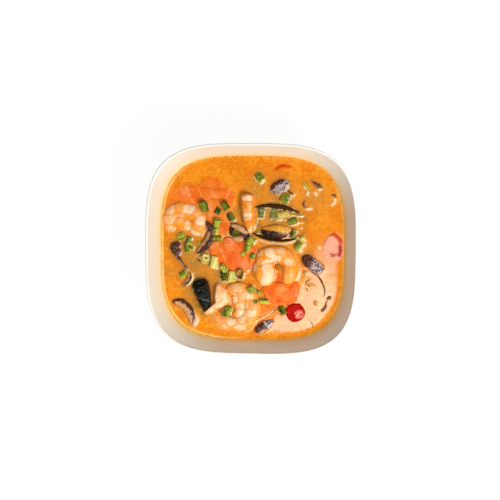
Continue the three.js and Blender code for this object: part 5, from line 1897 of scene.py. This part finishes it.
# The softbox whose near edge shows in the soup: metres.
SOFTBOX_EDGE = (-0.025, -0.217, 1.25)
SOFTBOX_OUTWARD = (0.69, -0.73)
SOFTBOX_SIZE = (0.32, 0.36)  # along its near edge, and outward
SOFTBOX_POWER = 3.75
SOFTBOX_COLOUR = (0.8, 1, 0.96)
KEY_PLACE = (0.68, -0.56, 1.05)
KEY_AIM = (0, 0, 0.05)
KEY_SIZE = (0.5, 0.5)
KEY_POWER = 15.5
KEY_COLOUR = (1, 0.985, 0.96)
DARK_CEILING = (0.86, 0.95)  # height of a direction at which the sky starts and ends fading out
SKY_STRENGTH = 0.32
CEILING_STRENGTH = 0.02
FLOOR_GLOW = 0.92
FLOOR_HALF_WIDTH = 20
FLOOR_CORNERS = ((-1, -1), (1, -1), (1, 1), (-1, 1))


def camera():
    rim = Vector((0, 0, BOWL_HEIGHT))
    away = Vector((*CAMERA_LEAN, 1)) * CAMERA_HEIGHT
    half = FRAME_PIXELS / 2
    aim = rim + Vector((half - RIM_CENTRE_PIXEL[0], RIM_CENTRE_PIXEL[1] - half, 0)) * RIM_PIXEL
    data = bpy.data.cameras.new("Camera")
    data.sensor_width = SENSOR
    data.lens = SENSOR * away.length / (FRAME_PIXELS * RIM_PIXEL)
    data.clip_end = 10
    eye = rim + away
    back = (eye - aim).normalized()
    right = Vector((0, 1, 0)).cross(back).normalized()
    up = back.cross(right)
    seen = bpy.data.objects.new("Camera", data)
    turned_to = Matrix((right, up, back)).transposed().to_4x4()
    seen.matrix_world = Matrix.Translation(eye * MM) @ turned_to
    bpy.context.scene.collection.objects.link(seen)
    bpy.context.scene.camera = seen


def area_light(name, place, axes, size, power, colour=(1, 1, 1)):
    """A rectangle of light. Its axes are those of its width and height and the way it faces."""
    data = bpy.data.lights.new(name, "AREA")
    data.shape = "RECTANGLE"
    data.size, data.size_y = size
    data.energy = power
    data.color = colour
    light = bpy.data.objects.new(name, data)
    across, up, facing = axes
    turned_to = Matrix((across, up, -facing)).transposed().to_4x4()
    light.matrix_world = Matrix.Translation(place) @ turned_to
    bpy.context.scene.collection.objects.link(light)


def lights():
    outward = Vector((*SOFTBOX_OUTWARD, 0)).normalized()
    down = Vector((0, 0, -1))
    place = Vector(SOFTBOX_EDGE) + outward * SOFTBOX_SIZE[1] / 2
    area_light("Softbox", place, (down.cross(outward), outward, down), SOFTBOX_SIZE,
               SOFTBOX_POWER, SOFTBOX_COLOUR)
    facing = (Vector(KEY_AIM) - Vector(KEY_PLACE)).normalized()
    across = facing.cross(Vector((0, 0, 1))).normalized()
    area_light("Key", KEY_PLACE, (across, across.cross(facing), facing), KEY_SIZE, KEY_POWER,
               KEY_COLOUR)


def studio():
    """Even light from the sides and none from straight above."""
    world = bpy.data.worlds.new("Studio")
    world.use_nodes = True
    tree = world.node_tree
    direction = tree.nodes.new("ShaderNodeTexCoord")
    parts = tree.nodes.new("ShaderNodeSeparateXYZ")
    fade = tree.nodes.new("ShaderNodeMapRange")
    fade.interpolation_type = "SMOOTHSTEP"
    tree.links.new(direction.outputs["Generated"], parts.inputs["Vector"])
    tree.links.new(parts.outputs["Z"], fade.inputs["Value"])
    ends = (*DARK_CEILING, SKY_STRENGTH, CEILING_STRENGTH)
    for name, value in zip(("From Min", "From Max", "To Min", "To Max"), ends):
        fade.inputs[name].default_value = value
    background = tree.nodes["Background"]
    background.inputs["Color"].default_value = (1, 0.99, 0.97, 1)
    tree.links.new(fade.outputs["Result"], background.inputs["Strength"])
    bpy.context.scene.world = world
    bpy.context.scene.view_settings.view_transform = "Standard"


def floor():
    """A pale table that glows a little, so that it stays pale under the bowl."""
    mesh = bpy.data.meshes.new("Floor")
    corners = [(x * FLOOR_HALF_WIDTH, y * FLOOR_HALF_WIDTH, 0) for x, y in FLOOR_CORNERS]
    mesh.from_pydata(corners, [], [(0, 1, 2, 3)])
    finish = Finish("Floor", {
        "Roughness": 0.9, "Specular IOR Level": 0.1, "Emission Color": (1, 1, 0.985, 1),
        "Emission Strength": FLOOR_GLOW,
    })
    finish.set("Base Color", finish.mix(finish.noise(120), (0.11, 0.11, 0.11), (0.13, 0.13, 0.13)))
    mesh.materials.append(finish.material)
    table = bpy.data.objects.new("Floor", mesh)
    bpy.context.scene.collection.objects.link(table)


# ---- Assembly ----

camera()
made("Bowl", bowl_shape(), porcelain(), "porcelain", "bowl")
make_shrimps()
make_salmon()
make_mussels()
make_mushrooms()
make_tomato_and_chilli()
make_spring_onions()
make_sunk()
made("Soup", soup_shape(), soup_finish(), "broth", "broth")
lights()
studio()
floor()
